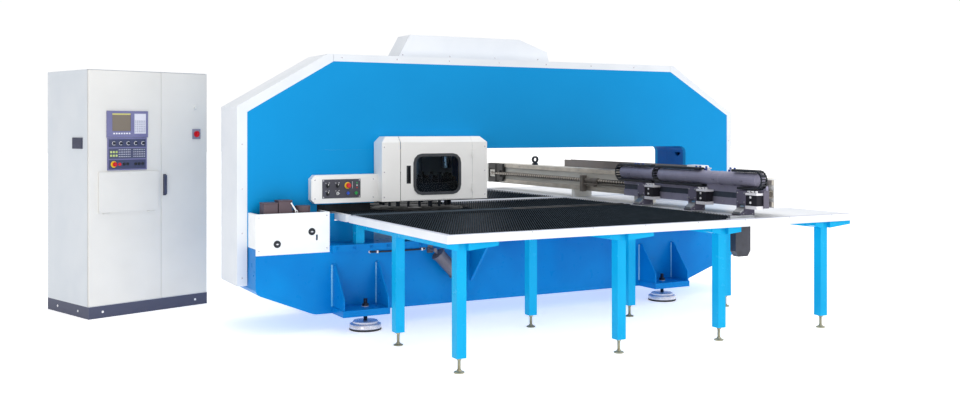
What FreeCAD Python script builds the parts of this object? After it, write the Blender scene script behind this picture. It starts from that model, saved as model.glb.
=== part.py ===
"""Bridge-frame CNC turret punch press with its free-standing control cabinet.

Millimetres. Stations (X) are measured along the frame from the tables' left edge, Y from the
frame's mid-plane with the operator's side at -Y, and Z up from the floor. Each sub-part is
moved by -ORIGIN_X when it is written, so the origin lies on the floor at the middle of the
overall width.
"""
import FreeCAD
import Part
import math
import os

V = FreeCAD.Vector
UP = V(0, 0, 1)
ALONG_Y = V(0, 1, 0)

# ---------------------------------------------------------------- driving dimensions
SEAT = 0.3                  # gap left where a moving piece lies beside a fixed one
RUN_FIT = 0.05              # radial clearance of a shaft in its bore
SHEET = 3.0                 # folded cover sheet
PASS_Z = 890.0              # height of the sheet's underside

# upper frame: two side plates joined by webs, standing on the base beam
FRAME_LEFT, FRAME_RIGHT = -707.0, 4069.0
FRAME_TOP = 2095.0
FRAME_HALF = 235.0          # half the thickness across the plates
FRAME_PLATE = 40.0
FRAME_WEB = 30.0
BEVEL_RUN, BEVEL_DROP = 697.0, 408.0
THROAT_LEFT, THROAT_RIGHT, THROAT_TOP = -150.0, 3553.0, 1390.0
THROAT_CORNER = 60.0
CABLE_PORT = (43.0, -114.0, 1336.0)      # hole in the throat's right wall: radius, Y, height
RIB_STATIONS = (250.0, 1450.0, 2150.0, 2850.0)

# base beam
LEDGE_LEFT, LEDGE_LOW, LEDGE_PROUD = -100.0, PASS_Z - 290.0, 20.0    # strip along the beam's upper edge
BEAM_LEFT, BEAM_RIGHT = -700.0, 4060.0
BEAM_TOP, BEAM_BOTTOM = PASS_Z - 235.0, 130.0
BEAM_HALF = 435.0
BEAM_PLATE = 30.0
BEAM_HEEL = 315.0           # height of the left end's lower corner
BEAM_TOE = 390.0            # height of the right end's lower corner
FOOT_STATIONS = (95.0, 3040.0)
MOUNT_STATIONS = (141.0, 3036.0)
FOOT_WIDE, FOOT_DEEP, FOOT_PLATE = 384.0, 242.0, 50.0
FOOT_GUSSET, FOOT_GUSSET_TOP = 12.0, BEAM_TOP - 144.0
MOUNT_Y, MOUNT_R, MOUNT_PAD_H, MOUNT_CAP_R, MOUNT_CAP_H = 530.0, 126.0, 55.0, 100.0, 20.0
MOUNT_BOLT_R, MOUNT_NUT = 16.0, 48.0

CABLE_R, CABLE_OFF = 7.0, 26.0
CABLE_ENDS = (218.0, 690.0)
CABLE_CLIPS = (262.0, 650.0)
CYLINDER_R, CYLINDER_OFF, CYLINDER_CAP = 54.0, 95.0, 14.0
CYLINDER_TOP = (776.0, LEDGE_LOW - 57.0)        # ends of the barrel: station, height
CYLINDER_LOW = (916.0, LEDGE_LOW - 202.0)

# perimeter covers
COVER_LEFT, COVER_TOP, COVER_RIGHT = 78.0, 58.0, 52.0
COVER_HEM = 358.0           # lower edge of the end covers
HOOD_LEFT, HOOD_RIGHT, HOOD_RISE, HOOD_HALF = 600.0, 2080.0, 192.0, 125.0

# operator-side cover box on the ledge left of the throat
BOX_LEFT, BOX_RIGHT, BOX_LOW, BOX_HIGH = BEAM_LEFT, -118.0, LEDGE_LOW + 6.0, 917.0
LATCH_R = 24.0
LEVER_X, LEVER_Z, LEVER_PIN_R = -372.0, 925.0, 6.0
AIR_Y = -(FRAME_HALF + BEAM_HALF) / 2.0         # middle of the valve blocks

# turrets
TURRET_X = 813.0
TURRET_R = 375.0
STATION_R, STATION_COUNT = 292.0, 20
UPPER_LOW, UPPER_HIGH = PASS_Z + 110.0, PASS_Z + 220.0
LOWER_LOW, LOWER_HIGH = PASS_Z - 110.0, PASS_Z - 2.0
PUNCH_TIP, PUNCH_HEAD = PASS_Z + 25.0, PASS_Z + 290.0
SPINDLE_R, SPINDLE_FLANGE_R = 60.0, 110.0
GEAR_MODULE, RING_TEETH, PINION_TEETH = 12.0, 56, 10
GEAR_LOW, GEAR_HIGH = UPPER_HIGH + 2.0, UPPER_HIGH + 38.0
SHAFT_R = 14.0
STRIKER_R, STRIKER_STROKE = 45.0, 40.0
RAM_R, RAM_FLANGE_R = 110.0, 150.0

# turret enclosure
ENC_LEFT, ENC_RIGHT, ENC_FRONT = 336.0, 1291.0, -400.0
ENC_LOW, ENC_HIGH, ENC_HIP = 975.0, 1495.0, 47.0
DOOR_LEFT, DOOR_RIGHT, DOOR_GAP = 495.0, 1152.0, 5.0
WINDOW = (621.0, 1034.0, 1029.0, 1346.0)        # left, right, low, high
WINDOW_CORNER, WINDOW_STEPS = 65.0, 3    # steps: flats that make up each rounded corner
GRIP = (551.0, 587.0, 1115.0, 1260.0)
HINGE_R, HINGE_PIN_R = 7.0, 3.0

# control box
CTRL_LEFT, CTRL_RIGHT, CTRL_LOW, CTRL_HIGH, CTRL_FRONT = -220.0, 336.0, 972.0, 1194.0, -305.0
PANEL = (-131.0, 189.0, 1010.0, 1159.0)
PANEL_THICK = 4.0
STEM_R = 4.0                # stems of buttons and switches
CTRL_ROWS = (1109.0, 1048.0)
CTRL_COLUMNS = (-87.0, -5.0, 80.0, 149.0)

# tables
TABLE_RIGHT, TABLE_EDGE = 3571.0, 2235.0
TABLE_SKIRT, TABLE_PANEL, TABLE_BORDER = 55.0, 28.0, 40.0
BRUSH_RIGHT, BRUSH_DEPTH, BRUSH_PITCH = 2654.0, 24.0, 260.0
SLOT_NEAR, SLOT_FAR = 478.0, 540.0              # the slots in which the crossbeam's feet travel
CENTRE_RIGHT = 3540.0
TURRET_HOLE_R = 390.0
LEG, LEG_BOTTOM = 70.0, 97.0
LEG_STATIONS, OUTER_ROW = (122.0, 1372.0, 2276.0, 3312.0), TABLE_EDGE - 80.0
INNER_LEGS = ((122.0, 1200.0), (1320.0, 1062.0), (2276.0, 1062.0), (3312.0, 1062.0))   # station, row
STAND_BEAM_LOW = PASS_Z - 105.0
ARM_LEFT = LEG_STATIONS[0] - LEG / 2 - 4.0      # tapered arms at the legs' heads
ARM_RIGHT = TABLE_RIGHT - 4.0 - LEG_STATIONS[-1] - LEG / 2
ARM_TIP, ARM_PROUD = PASS_Z - 84.0, 30.0
POST_STATIONS, POST_Y = (139.0, 1372.0, 2291.0, 3320.0), BEAM_HALF - 5.0 - LEG / 2
FOOT_PAD_R = 36.0

# gauge stop at the near edge
GAUGE_X, GAUGE_Y, GAUGE_LOW = 2508.0, -(TABLE_EDGE - 104.0), PASS_Z - 286.0
GAUGE_HALF, GAUGE_DEEP = 73.0, 58.0
GAUGE_BAR, GAUGE_PROUD = 222.0, 18.0
PLUNGER_R = 15.0

# crossbeam and carriage
CROSS_LEFT, CROSS_RIGHT, CROSS_HALF = 2770.0, 2950.0, TABLE_EDGE - 25.0
CROSS_LOW, CROSS_HIGH = PASS_Z + 68.0, PASS_Z + 282.0
END_PLATE = 16.0
BEARING_NEAR, BEARING_FAR = CROSS_HALF - 200.0, CROSS_HALF - 36.0      # frame of the screw's far bearing
TRAY, TRAY_RISE, EYE_Y = (-1056.0, 867.0), 70.0, 1375.0
RAIL_WIDE, RAIL_PROUD, RAIL_FAR = 36.0, 20.0, CROSS_HALF - 344.0
RAIL_HEIGHTS = (CROSS_LOW + 27.0, CROSS_HIGH - 22.0)
SCREW_X, SCREW_Z, SCREW_R = CROSS_LEFT - 27.0, CROSS_LOW + 104.0, 20.0
WAY_LOW, WAY_HIGH = PASS_Z - 250.0, PASS_Z - 150.0
WAY_LEFT, WAY_RIGHT, WAY_RAIL = 1380.0, 3450.0, 36.0
CAR_NEAR, CAR_FAR = -(CROSS_HALF - 10.0), -410.0
CAR_PLATE_LEFT, CAR_PLATE_RIGHT = CROSS_LEFT - 70.0, CROSS_LEFT - 48.0
CAR_LOW, CAR_HIGH = CROSS_LOW, CROSS_HIGH - 48.0
CAR_CHANNEL = (CAR_LOW + 58.0, CAR_LOW + 102.0)          # shallow channel along the plate's face
NUT_SPAN, TIE_Z = (53.0, 308.0), CAR_LOW + 64.0
TUBE_X, TUBE_Z, TUBE_R = CAR_PLATE_LEFT - 6.0, CAR_HIGH + 44.0, 54.0
TUBE_NEAR, TUBE_FAR = CAR_NEAR + 58.0, -425.0
TUBE_BREAK = (-966.0, -884.0)           # room in the tube for the middle chain's turn
CHAIN_THICK, CHAIN_WIDE, CHAIN_PLAY = 20.0, 60.0, 1.0
CHAIN_TURNS = ((TUBE_FAR, TUBE_FAR - 445.0, TUBE_FAR - 455.0, 1),
               (TUBE_BREAK[0], TUBE_BREAK[0] - 534.0, TUBE_BREAK[0] - 568.0, 1),
               (TUBE_NEAR, TUBE_NEAR + 261.0, TUBE_NEAR + 196.0, -1))
CLAMP_Y = (-782.0, -1460.0, -2028.0)
CLAMP_PIVOT_X, CLAMP_PIVOT_Z, PIVOT_R = CAR_PLATE_LEFT - 60.0, PASS_Z + 72.0, 7.0
CLAMP_LEFT, CLAMP_HALF = CLAMP_PIVOT_X - 80.0, 48.0
CLAMP_TOP, JAW_CLEAR_Z = CLAMP_PIVOT_Z + 124.0, CLAMP_PIVOT_Z + 23.0
BLOCK_WIDE = 120.0                      # pneumatic block beside each clamp
BLOCK_LOW, BLOCK_HIGH = CLAMP_PIVOT_Z - 11.0, CLAMP_PIVOT_Z + 110.0

# control cabinet, in its own frame: u along the front, v into the depth
CAB_AT = (-1692.0, 912.0)
CAB_YAW = 18.4
CAB_W, CAB_D, CAB_H = 1100.0, 750.0, 2045.0
CAB_PLINTH = 100.0
CAB_DOOR = 25.0
CAB_SPLIT = 650.0
CAB_PIVOT, CAB_PIN_R = 14.0, 4.0
CAB_SEAL = 3.0              # depth of the gap behind the shut doors
FLAP = (82.0, 617.0, 864.0, 1199.0)
FLAP_HINGE_V, FLAP_HINGE_Z, FLAP_HINGE_R, FLAP_PIN_R = -7.3, 857.5, 5.0, 2.5


def cab_corner(u, v):
    """Station and Y of a point of the cabinet's own frame."""
    yaw = math.radians(CAB_YAW)
    return (CAB_AT[0] + u * math.cos(yaw) - v * math.sin(yaw),
            CAB_AT[1] + u * math.sin(yaw) + v * math.cos(yaw))


ORIGIN_X = (cab_corner(0, CAB_D)[0] + FRAME_RIGHT + COVER_RIGHT) / 2.0


# ---------------------------------------------------------------- shape helpers
def box(x0, x1, y0, y1, z0, z1):
    return Part.makeBox(x1 - x0, y1 - y0, z1 - z0, V(x0, y0, z0))


def rod(radius, start, end):
    """Round bar between two points."""
    run = V(*end) - V(*start)
    return Part.makeCylinder(radius, run.Length, V(*start), run)


def face_of(corners, place):
    """Flat face from (u, w) or (u, w, radius) corners; place turns u, w into a point."""
    edges, entries, exits = [], [], []
    count = len(corners)
    for i, corner in enumerate(corners):
        here = V(corner[0], corner[1], 0)
        radius = corner[2] if len(corner) > 2 else 0
        before = V(corners[i - 1][0], corners[i - 1][1], 0)
        after = V(corners[(i + 1) % count][0], corners[(i + 1) % count][1], 0)
        if not radius:
            entries.append(here)
            exits.append(here)
            continue
        back = (before - here).normalize()
        ahead = (after - here).normalize()
        half = back.getAngle(ahead) / 2
        reach = radius / math.tan(half)
        middle = (back + ahead).normalize()
        start, end = here + back * reach, here + ahead * reach
        top = here + middle * (radius / math.sin(half) - radius)
        edges.append((i, Part.Arc(place(start), place(top), place(end)).toShape()))
        entries.append(start)
        exits.append(end)
    for i in range(count):
        start, end = exits[i], entries[(i + 1) % count]
        if (end - start).Length > 1e-6:
            edges.append((i + 0.5, Part.LineSegment(place(start), place(end)).toShape()))
    edges.sort(key=lambda item: item[0])
    return Part.Face(Part.Wire([edge for _, edge in edges]))


def slab_y(corners, y0, y1):
    """Plate with an X-Z outline, from y0 to y1."""
    return face_of(corners, lambda p: V(p.x, y0, p.y)).extrude(V(0, y1 - y0, 0))


def slab_x(corners, x0, x1):
    """Plate with a Y-Z outline, from x0 to x1."""
    return face_of(corners, lambda p: V(x0, p.x, p.y)).extrude(V(x1 - x0, 0, 0))


def slab_z(corners, z0, z1):
    """Plate with an X-Y outline, from z0 to z1."""
    return face_of(corners, lambda p: V(p.x, p.y, z0)).extrude(V(0, 0, z1 - z0))


def fused(shapes):
    first = shapes[0]
    return first.fuse(shapes[1:]).removeSplitter() if len(shapes) > 1 else first


def far_side(shape):
    """The same piece on the other side of the frame's mid-plane."""
    return shape.mirror(V(0, 0, 0), ALONG_Y)


def both_sides(shape):
    return [shape, far_side(shape)]


def hexagon(across, x, y, z0, z1):
    reach = across / math.sqrt(3)
    corners = [(x + reach * math.cos(math.radians(a)), y + reach * math.sin(math.radians(a)))
               for a in range(0, 360, 60)]
    return slab_z(corners, z0, z1)


def prism(sides, radius, start, end):
    """Many-sided bar between two points, for small round pieces."""
    base = V(*start)
    run = V(*end) - base
    spin = FreeCAD.Rotation(UP, run)
    angles = [2 * math.pi * i / sides for i in range(sides)]
    corners = [base + spin.multVec(V(radius * math.cos(a), radius * math.sin(a), 0)) for a in angles]
    return Part.Face(Part.makePolygon(corners + corners[:1])).extrude(run)


def snug(radius):
    """Corner radius of an eight-sided bore that clears a round pin."""
    return (radius + SEAT) / math.cos(math.pi / 8)


# ---------------------------------------------------------------- frame
def frame_outline(left=0.0, top=0.0, right=0.0, low=BEAM_TOP):
    """Outline of the upper frame without its throat, grown on each side."""
    left_run = BEVEL_RUN + left * 0.4
    right_run = BEVEL_RUN + right * 0.4
    return [(FRAME_LEFT - left, low),
            (FRAME_LEFT - left, FRAME_TOP - BEVEL_DROP + top * 0.75),
            (FRAME_LEFT - left + left_run, FRAME_TOP + top),
            (FRAME_RIGHT + right - right_run, FRAME_TOP + top),
            (FRAME_RIGHT + right, FRAME_TOP - BEVEL_DROP + top * 0.3),
            (FRAME_RIGHT + right, low)]


def throat_outline(low=BEAM_TOP):
    return [(THROAT_LEFT, low), (THROAT_RIGHT, low), (THROAT_RIGHT, THROAT_TOP, THROAT_CORNER),
            (THROAT_LEFT, THROAT_TOP, THROAT_CORNER)]


def side_plate():
    """One side plate: an upside-down U with bevelled shoulders."""
    plate = slab_y(frame_outline(), -FRAME_HALF, -FRAME_HALF + FRAME_PLATE)
    return plate.cut(slab_y(throat_outline(BEAM_TOP - 1), -FRAME_HALF - 1, FRAME_HALF))


def frame_webs():
    """Outer skin, throat lining, ribs and rounded corners between the side plates."""
    inner = FRAME_HALF - FRAME_PLATE
    outline = frame_outline()
    inside = frame_outline(-FRAME_WEB, -FRAME_WEB, -FRAME_WEB, BEAM_TOP)
    skins = [slab_y([outline[i], outline[i + 1], inside[i + 1], inside[i]], -inner, inner) for i in range(5)]
    striker_x = TURRET_X + STATION_R
    ram_hole = prism(16, RAM_R + 5, (striker_x, 0, FRAME_TOP - 60), (striker_x, 0, FRAME_TOP + 10))
    skins[2] = skins[2].cut(ram_hole)
    ceiling = box(THROAT_LEFT, THROAT_RIGHT, -inner, inner, THROAT_TOP, THROAT_TOP + FRAME_WEB)
    rod_hole = prism(16, STRIKER_R + 3, (striker_x, 0, THROAT_TOP - 1), (striker_x, 0, THROAT_TOP + 40))
    left_wall = box(THROAT_LEFT - FRAME_WEB, THROAT_LEFT, -inner, inner, BEAM_TOP, THROAT_TOP + FRAME_WEB)
    right_wall = box(THROAT_RIGHT, THROAT_RIGHT + FRAME_WEB, -inner, inner, BEAM_TOP, THROAT_TOP + FRAME_WEB)
    radius, y, z = CABLE_PORT
    port = prism(12, radius, (THROAT_RIGHT - 1, y, z), (THROAT_RIGHT + FRAME_WEB + 1, y, z))
    linings = [ceiling.cut(rod_hole), left_wall, right_wall.cut(port)]
    for x, turn in ((THROAT_LEFT, 1), (THROAT_RIGHT, -1)):
        corner = box(min(x, x + turn * THROAT_CORNER), max(x, x + turn * THROAT_CORNER), -inner, inner,
                     THROAT_TOP - THROAT_CORNER, THROAT_TOP)
        middle = (x + turn * THROAT_CORNER, THROAT_TOP - THROAT_CORNER)
        linings.append(corner.cut(rod(THROAT_CORNER, (middle[0], -inner - 1, middle[1]),
                                      (middle[0], inner + 1, middle[1]))))
    ribs = [box(x, x + FRAME_WEB, -inner, inner, THROAT_TOP + FRAME_WEB, FRAME_TOP - FRAME_WEB)
            for x in RIB_STATIONS]
    floors = [box(x0 + FRAME_WEB, x1 - FRAME_WEB, -inner, inner, BEAM_TOP, BEAM_TOP + FRAME_WEB)
              for x0, x1 in ((FRAME_LEFT, THROAT_LEFT), (THROAT_RIGHT, FRAME_RIGHT))]
    return skins + linings + ribs + floors


def beam_outline(inset=0.0):
    return [(BEAM_LEFT + inset, BEAM_TOP - inset), (BEAM_LEFT + inset, BEAM_HEEL + inset * 0.4, 60),
            (BEAM_LEFT + 461, BEAM_BOTTOM + inset, 160),
            (3345, BEAM_BOTTOM + inset), (3736 - inset * 0.3, 265 + inset * 0.9),
            (BEAM_RIGHT - inset, BEAM_TOE + inset * 0.5), (BEAM_RIGHT - inset, BEAM_TOP - inset)]


def foot_bracket(x, bolt_x):
    """Base plate and two gussets, welded to the operator-side face."""
    near = -BEAM_HALF - FOOT_DEEP
    low = BEAM_BOTTOM + FOOT_PLATE
    plate = box(x - FOOT_WIDE / 2, x + FOOT_WIDE / 2, near, -BEAM_HALF, BEAM_BOTTOM, low)
    plate = plate.cut(prism(12, MOUNT_BOLT_R + 2, (bolt_x, -MOUNT_Y, 0), (bolt_x, -MOUNT_Y, low + 10)))
    side = [(-BEAM_HALF, low), (near + 8, low), (near + 8, low + 85), (-BEAM_HALF - 30, FOOT_GUSSET_TOP),
            (-BEAM_HALF, FOOT_GUSSET_TOP)]
    reach = FOOT_WIDE / 2 - 4
    gussets = [slab_x(side, x + s * reach - (s > 0) * FOOT_GUSSET, x + s * reach + (s < 0) * FOOT_GUSSET)
               for s in (-1, 1)]
    return fused([plate] + gussets)


def ledge_strip():
    """Strip along the beam's upper edge, narrower under the way beam."""
    face = -BEAM_HALF
    left = box(LEDGE_LEFT, WAY_LEFT, face - LEDGE_PROUD, face, LEDGE_LOW, BEAM_TOP)
    right = box(WAY_LEFT, WAY_RIGHT, face - LEDGE_PROUD, face, LEDGE_LOW, WAY_LOW)
    return fused([left, right])


def outrigger():
    """Pad and tapered rib that carry the table's edge off the beam."""
    face = -BEAM_HALF
    pad = box(1075, 1154, face - 14, face, 217, LEDGE_LOW)
    rib = slab_x([(face, LEDGE_LOW + 40), (face - 335, LEDGE_LOW + 40), (face - 30, 305), (face, 305)],
                 1100, 1120)
    return fused([pad, rib]).cut(ledge_strip())


def way_beam():
    """Way beam welded to the beam's side, with the rail on which the crossbeam's foot runs."""
    way = box(WAY_LEFT, WAY_RIGHT, -BEAM_HALF - 125, -BEAM_HALF, WAY_LOW, WAY_HIGH)
    rail_y = -(SLOT_NEAR + SLOT_FAR) / 2
    rail = box(WAY_LEFT, WAY_RIGHT, rail_y - WAY_RAIL / 2, rail_y + WAY_RAIL / 2, WAY_HIGH,
               WAY_HIGH + WAY_RAIL)
    return fused([way, rail])


def base_beam():
    """Welded box beam and the parts welded to its sides, each a solid of its own."""
    half = BEAM_HALF
    whole = slab_y(beam_outline(), -half, half)
    cavity = slab_y(beam_outline(BEAM_PLATE), -half + BEAM_PLATE, half - BEAM_PLATE)
    parts = [whole.cut(cavity)]
    brackets = [foot_bracket(x, bolt_x) for x, bolt_x in zip(FOOT_STATIONS, MOUNT_STATIONS)]
    for piece in brackets + [ledge_strip(), outrigger(), way_beam()]:
        parts += both_sides(piece)
    return parts


def vibration_mounts():
    """Rubber-soled pad, cap and levelling bolt with its two nuts, under each foot bracket."""
    solids = []
    top = MOUNT_PAD_H + MOUNT_CAP_H
    seat = BEAM_BOTTOM + FOOT_PLATE
    for x in MOUNT_STATIONS:
        for side in (-1, 1):
            y = side * MOUNT_Y
            pad = prism(12, MOUNT_R, (x, y, 0), (x, y, MOUNT_PAD_H))
            cap = prism(8, MOUNT_CAP_R, (x, y, MOUNT_PAD_H), (x, y, top))
            bolt = prism(6, MOUNT_BOLT_R, (x, y, top), (x, y, seat + 62))
            nut_low = hexagon(MOUNT_NUT, x, y, BEAM_BOTTOM - 24, BEAM_BOTTOM)
            nut_high = hexagon(MOUNT_NUT, x, y, seat, seat + 24)
            solids += [pad, fused([cap, bolt, nut_low, nut_high])]
    return solids


def base_cable():
    """Cable clipped under the ledge strip, between two grommets in the beam's face."""
    y, face = -BEAM_HALF - CABLE_OFF, -BEAM_HALF
    z = LEDGE_LOW - CABLE_R - 5
    left, right = CABLE_ENDS
    turn = CABLE_OFF
    points = [(left, face, z), (left + turn, y, z), (right - turn, y, z), (right, face, z)]
    runs = [prism(8, CABLE_R, a, b) for a, b in zip(points, points[1:])]
    knees = [prism(8, CABLE_R, (x, y, z - CABLE_R), (x, y, z + CABLE_R)) for x in (left + turn, right - turn)]
    clips = [box(x, x + 14, y - CABLE_R - 3, face, z - 11, z + 11) for x in CABLE_CLIPS]
    grommets = [prism(8, CABLE_R + 5, (x, face - 4, z), (x, face, z)) for x in CABLE_ENDS]
    wall = box(left - 20, right + 20, face, face + 20, z - 20, z + 20)
    return fused(runs + knees + clips + grommets).cut(wall)


def air_cylinder():
    """Inclined air cylinder pinned between two lugs on the operator-side face."""
    y = -BEAM_HALF - CYLINDER_OFF
    top = V(CYLINDER_TOP[0], y, CYLINDER_TOP[1])
    low = V(CYLINDER_LOW[0], y, CYLINDER_LOW[1])
    along = (low - top).normalize()
    length = (low - top).Length
    parts = [prism(16, CYLINDER_R, top, low)]
    for start, thick in ((-CYLINDER_CAP, CYLINDER_CAP + 2), (length - 2, CYLINDER_CAP)):
        parts.append(prism(12, CYLINDER_R + 6, top + along * start, top + along * (start + thick)))
    parts.append(prism(6, 12, top - along * 70, top))
    parts.append(prism(6, 12, low, low + along * 82))
    for pin in (top - along * 58, low + along * 72):
        parts.append(prism(8, 16, (pin.x, y - 20, pin.z), (pin.x, -BEAM_HALF - 12, pin.z)))
        parts.append(box(pin.x - 22, pin.x + 22, -BEAM_HALF - LEDGE_PROUD - 8, -BEAM_HALF,
                         pin.z - 30, pin.z + 30))
    return fused(parts).cut(ledge_strip())


# ---------------------------------------------------------------- covers
def perimeter_covers():
    """Left end, top and right end covers: folded channels round the frame's edge."""
    outer = frame_outline(COVER_LEFT, COVER_TOP, COVER_RIGHT, COVER_HEM)
    skin = frame_outline(COVER_LEFT - SHEET, COVER_TOP - SHEET, COVER_RIGHT - SHEET, COVER_HEM - 1)
    frame = frame_outline(low=COVER_HEM - 1)
    half = FRAME_HALF
    channel = slab_y(outer, -half, half)
    channel = channel.cut(slab_y(skin, -half + SHEET, half - SHEET))
    channel = channel.cut(slab_y(frame, -half - 1, half + 1))
    joint = 2.0
    left_joint = FRAME_LEFT + BEVEL_RUN
    right_joint = FRAME_RIGHT - BEVEL_RUN
    reach = 3000.0
    left = channel.common(box(-reach, left_joint - joint, -reach, reach, 0, reach))
    top = channel.common(box(left_joint, right_joint, -reach, reach, 0, reach))
    right = channel.common(box(right_joint + joint, FRAME_RIGHT + reach, -reach, reach, 0, reach))
    striker_x = TURRET_X + STATION_R
    ram_hole = prism(20, RAM_R + 17, (striker_x, 0, FRAME_TOP - 10), (striker_x, 0, FRAME_TOP + 100))
    return left, top.cut(ram_hole), right


def ram_hood():
    """Folded hood over the ram's head, open below."""
    low = FRAME_TOP + COVER_TOP

    def corners(inset, drop=0.0):
        return [(HOOD_LEFT + inset, low - drop), (HOOD_LEFT + 108 + inset * 0.5, low + HOOD_RISE - inset),
                (HOOD_RIGHT - 313, low + HOOD_RISE - inset),
                (HOOD_RIGHT - 26 - inset, low + 91 - inset * 0.3), (HOOD_RIGHT - inset, low - drop)]
    outer = slab_y(corners(0), -HOOD_HALF, HOOD_HALF)
    return outer.cut(slab_y(corners(SHEET, 1), -HOOD_HALF + SHEET, HOOD_HALF - SHEET))


def front_cover():
    """Cover box over the ledge: front and end sheets with a folded top lip."""
    back, front = -FRAME_HALF, -BEAM_HALF - SEAT - SHEET
    shell = box(BOX_LEFT, BOX_RIGHT, front, back, BOX_LOW, BOX_HIGH)
    inside = box(BOX_LEFT + SHEET, BOX_RIGHT - SHEET, front + SHEET, back + 1, BOX_LOW - 1,
                 BOX_HIGH - SHEET)
    mouth = box(BOX_LEFT + 22, BOX_RIGHT - 22, front + 22, back + 1, BOX_HIGH - 10, BOX_HIGH + 1)
    below = box(BOX_LEFT - 1, BOX_RIGHT + 1, -BEAM_HALF - SEAT / 2, back + 1, BOX_LOW - 1,
                BEAM_TOP + SEAT)
    cover = shell.cut(inside).cut(mouth).cut(below)
    for x, z in LATCHES:
        cover = cover.cut(rod(LATCH_R + SEAT, (x, front - 1, z), (x, front + SHEET + 1, z)))
    slot = slab_y([(-228, 705), (-221, 700), (-214, 705), (-214, 743), (-221, 748), (-228, 743)],
                  front - 1, front + SHEET + 1)
    return cover.cut(slot)


LATCHES = ((-535.0, 655.0 + 32.0), (-262.0, 770.0))


def cover_latch(x, z):
    """Quarter-turn latch: a disc with a cross bar, its plug in the front sheet's hole."""
    front = -BEAM_HALF - SEAT - SHEET
    disc = prism(16, LATCH_R + 4, (x, front - 3, z), (x, front - SEAT, z))
    plug = prism(16, LATCH_R - 1, (x, front - SEAT, z), (x, front + SHEET, z))
    bar = box(x - LATCH_R + 3, x + LATCH_R - 3, front - 6, front - 3, z - 4, z + 4)
    spindle = prism(6, 4, (x, front + SHEET, z), (x, front + SHEET + 14, z))
    return fused([disc, plug, bar, spindle])


def air_unit():
    """Two valve blocks and a round air drum, standing on the ledge behind the cover."""
    y = AIR_Y
    parts = []
    for left, right, top in ((-623, -515, 997), (-507, -402, 1012)):
        body = box(left, right, y - 54, y + 54, BEAM_TOP, top - 8)
        lid = box(left - 2, right + 2, y - 56, y + 56, top - 8, top)
        parts.append(fused([body, lid]))
    x = LEVER_X
    stub = prism(8, 9, (-402, y - 30, LEVER_Z), (x, y - 30, LEVER_Z))
    knuckle = box(x - 12, x + 12, y - 60, y - 18, LEVER_Z - 12, LEVER_Z + 12)
    spindle = rod(LEVER_PIN_R, (x, y - 60, LEVER_Z), (x, y - 72, LEVER_Z))
    parts[1] = fused([parts[1], stub, knuckle, spindle])
    parts.append(prism(16, 58.5, (-301, y, BEAM_TOP), (-301, y, 965)))
    return parts


def shut_off_lever():
    """Flat lever on the valve's spindle, leaning back against its stop."""
    y = AIR_Y
    pivot = V(LEVER_X, 0, LEVER_Z)
    lean = math.radians(122.0)
    tip = V(pivot.x + 76 * math.cos(lean), 0, pivot.z + 76 * math.sin(lean))
    side = V(-math.sin(lean), 0, math.cos(lean))
    corners = []
    for point, half in ((pivot, 6), (tip, 4)):
        corners.append((point.x + side.x * half, point.z + side.z * half))
    corners += [(tip.x - side.x * 4, tip.z - side.z * 4), (pivot.x - side.x * 6, pivot.z - side.z * 6)]
    blade = slab_y(corners, y - 70, y - 64)
    hub = prism(10, 11, (pivot.x, y - 71, pivot.z), (pivot.x, y - 60 - SEAT, pivot.z))
    knob = prism(8, 6, (tip.x, y - 73, tip.z), (tip.x, y - 61, tip.z))
    lever = fused([blade, hub, knob])
    bore = prism(8, snug(LEVER_PIN_R), (pivot.x, y - 80, pivot.z), (pivot.x, y - 50, pivot.z))
    return lever.cut(bore)


# ---------------------------------------------------------------- turrets and ram
def gear_outline(teeth, cx, cy, phase):
    """Straight-flanked teeth with working backlash, as X-Y corners."""
    pitch_r = GEAR_MODULE * teeth / 2.0
    step = 2 * math.pi / teeth
    root_r, tip_r = pitch_r - 1.25 * GEAR_MODULE, pitch_r + 0.85 * GEAR_MODULE
    corners = []
    for i in range(teeth):
        middle = phase + i * step
        for share, radius in ((-0.31, root_r), (-0.12, tip_r), (0.12, tip_r), (0.31, root_r)):
            angle = middle + share * step
            corners.append((cx + radius * math.cos(angle), cy + radius * math.sin(angle)))
    return corners


def station_places():
    for i in range(STATION_COUNT):
        angle = 2 * math.pi * i / STATION_COUNT
        yield i, TURRET_X + STATION_R * math.cos(angle), STATION_R * math.sin(angle)


def upper_turret():
    """Upper turret disc with its ring gear and its punches."""
    disc = fused([prism(32, TURRET_R, (TURRET_X, 0, UPPER_LOW), (TURRET_X, 0, UPPER_HIGH - 20)),
                  prism(32, TURRET_R - 16, (TURRET_X, 0, UPPER_HIGH - 20), (TURRET_X, 0, UPPER_HIGH))])
    disc = disc.cut(rod(SPINDLE_R + RUN_FIT, (TURRET_X, 0, UPPER_LOW - 1), (TURRET_X, 0, UPPER_HIGH + 1)))
    phase = math.pi / RING_TEETH
    ring = slab_z(gear_outline(RING_TEETH, TURRET_X, 0, phase), GEAR_LOW, GEAR_HIGH)
    ring = fused([ring, prism(20, 324, (TURRET_X, 0, UPPER_HIGH), (TURRET_X, 0, GEAR_LOW))])
    ring = ring.cut(prism(20, STATION_R + 25, (TURRET_X, 0, UPPER_HIGH - 1), (TURRET_X, 0, GEAR_HIGH + 1)))
    punches = []
    for i, x, y in station_places():
        body_r = 24.0 if i % 3 == 0 else 17.0
        punches.append(prism(5, body_r, (x, y, UPPER_HIGH), (x, y, PUNCH_HEAD)))
        punches.append(prism(4, body_r - 5, (x, y, PUNCH_TIP), (x, y, UPPER_LOW)))
    return fused([disc, ring] + punches)


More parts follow.
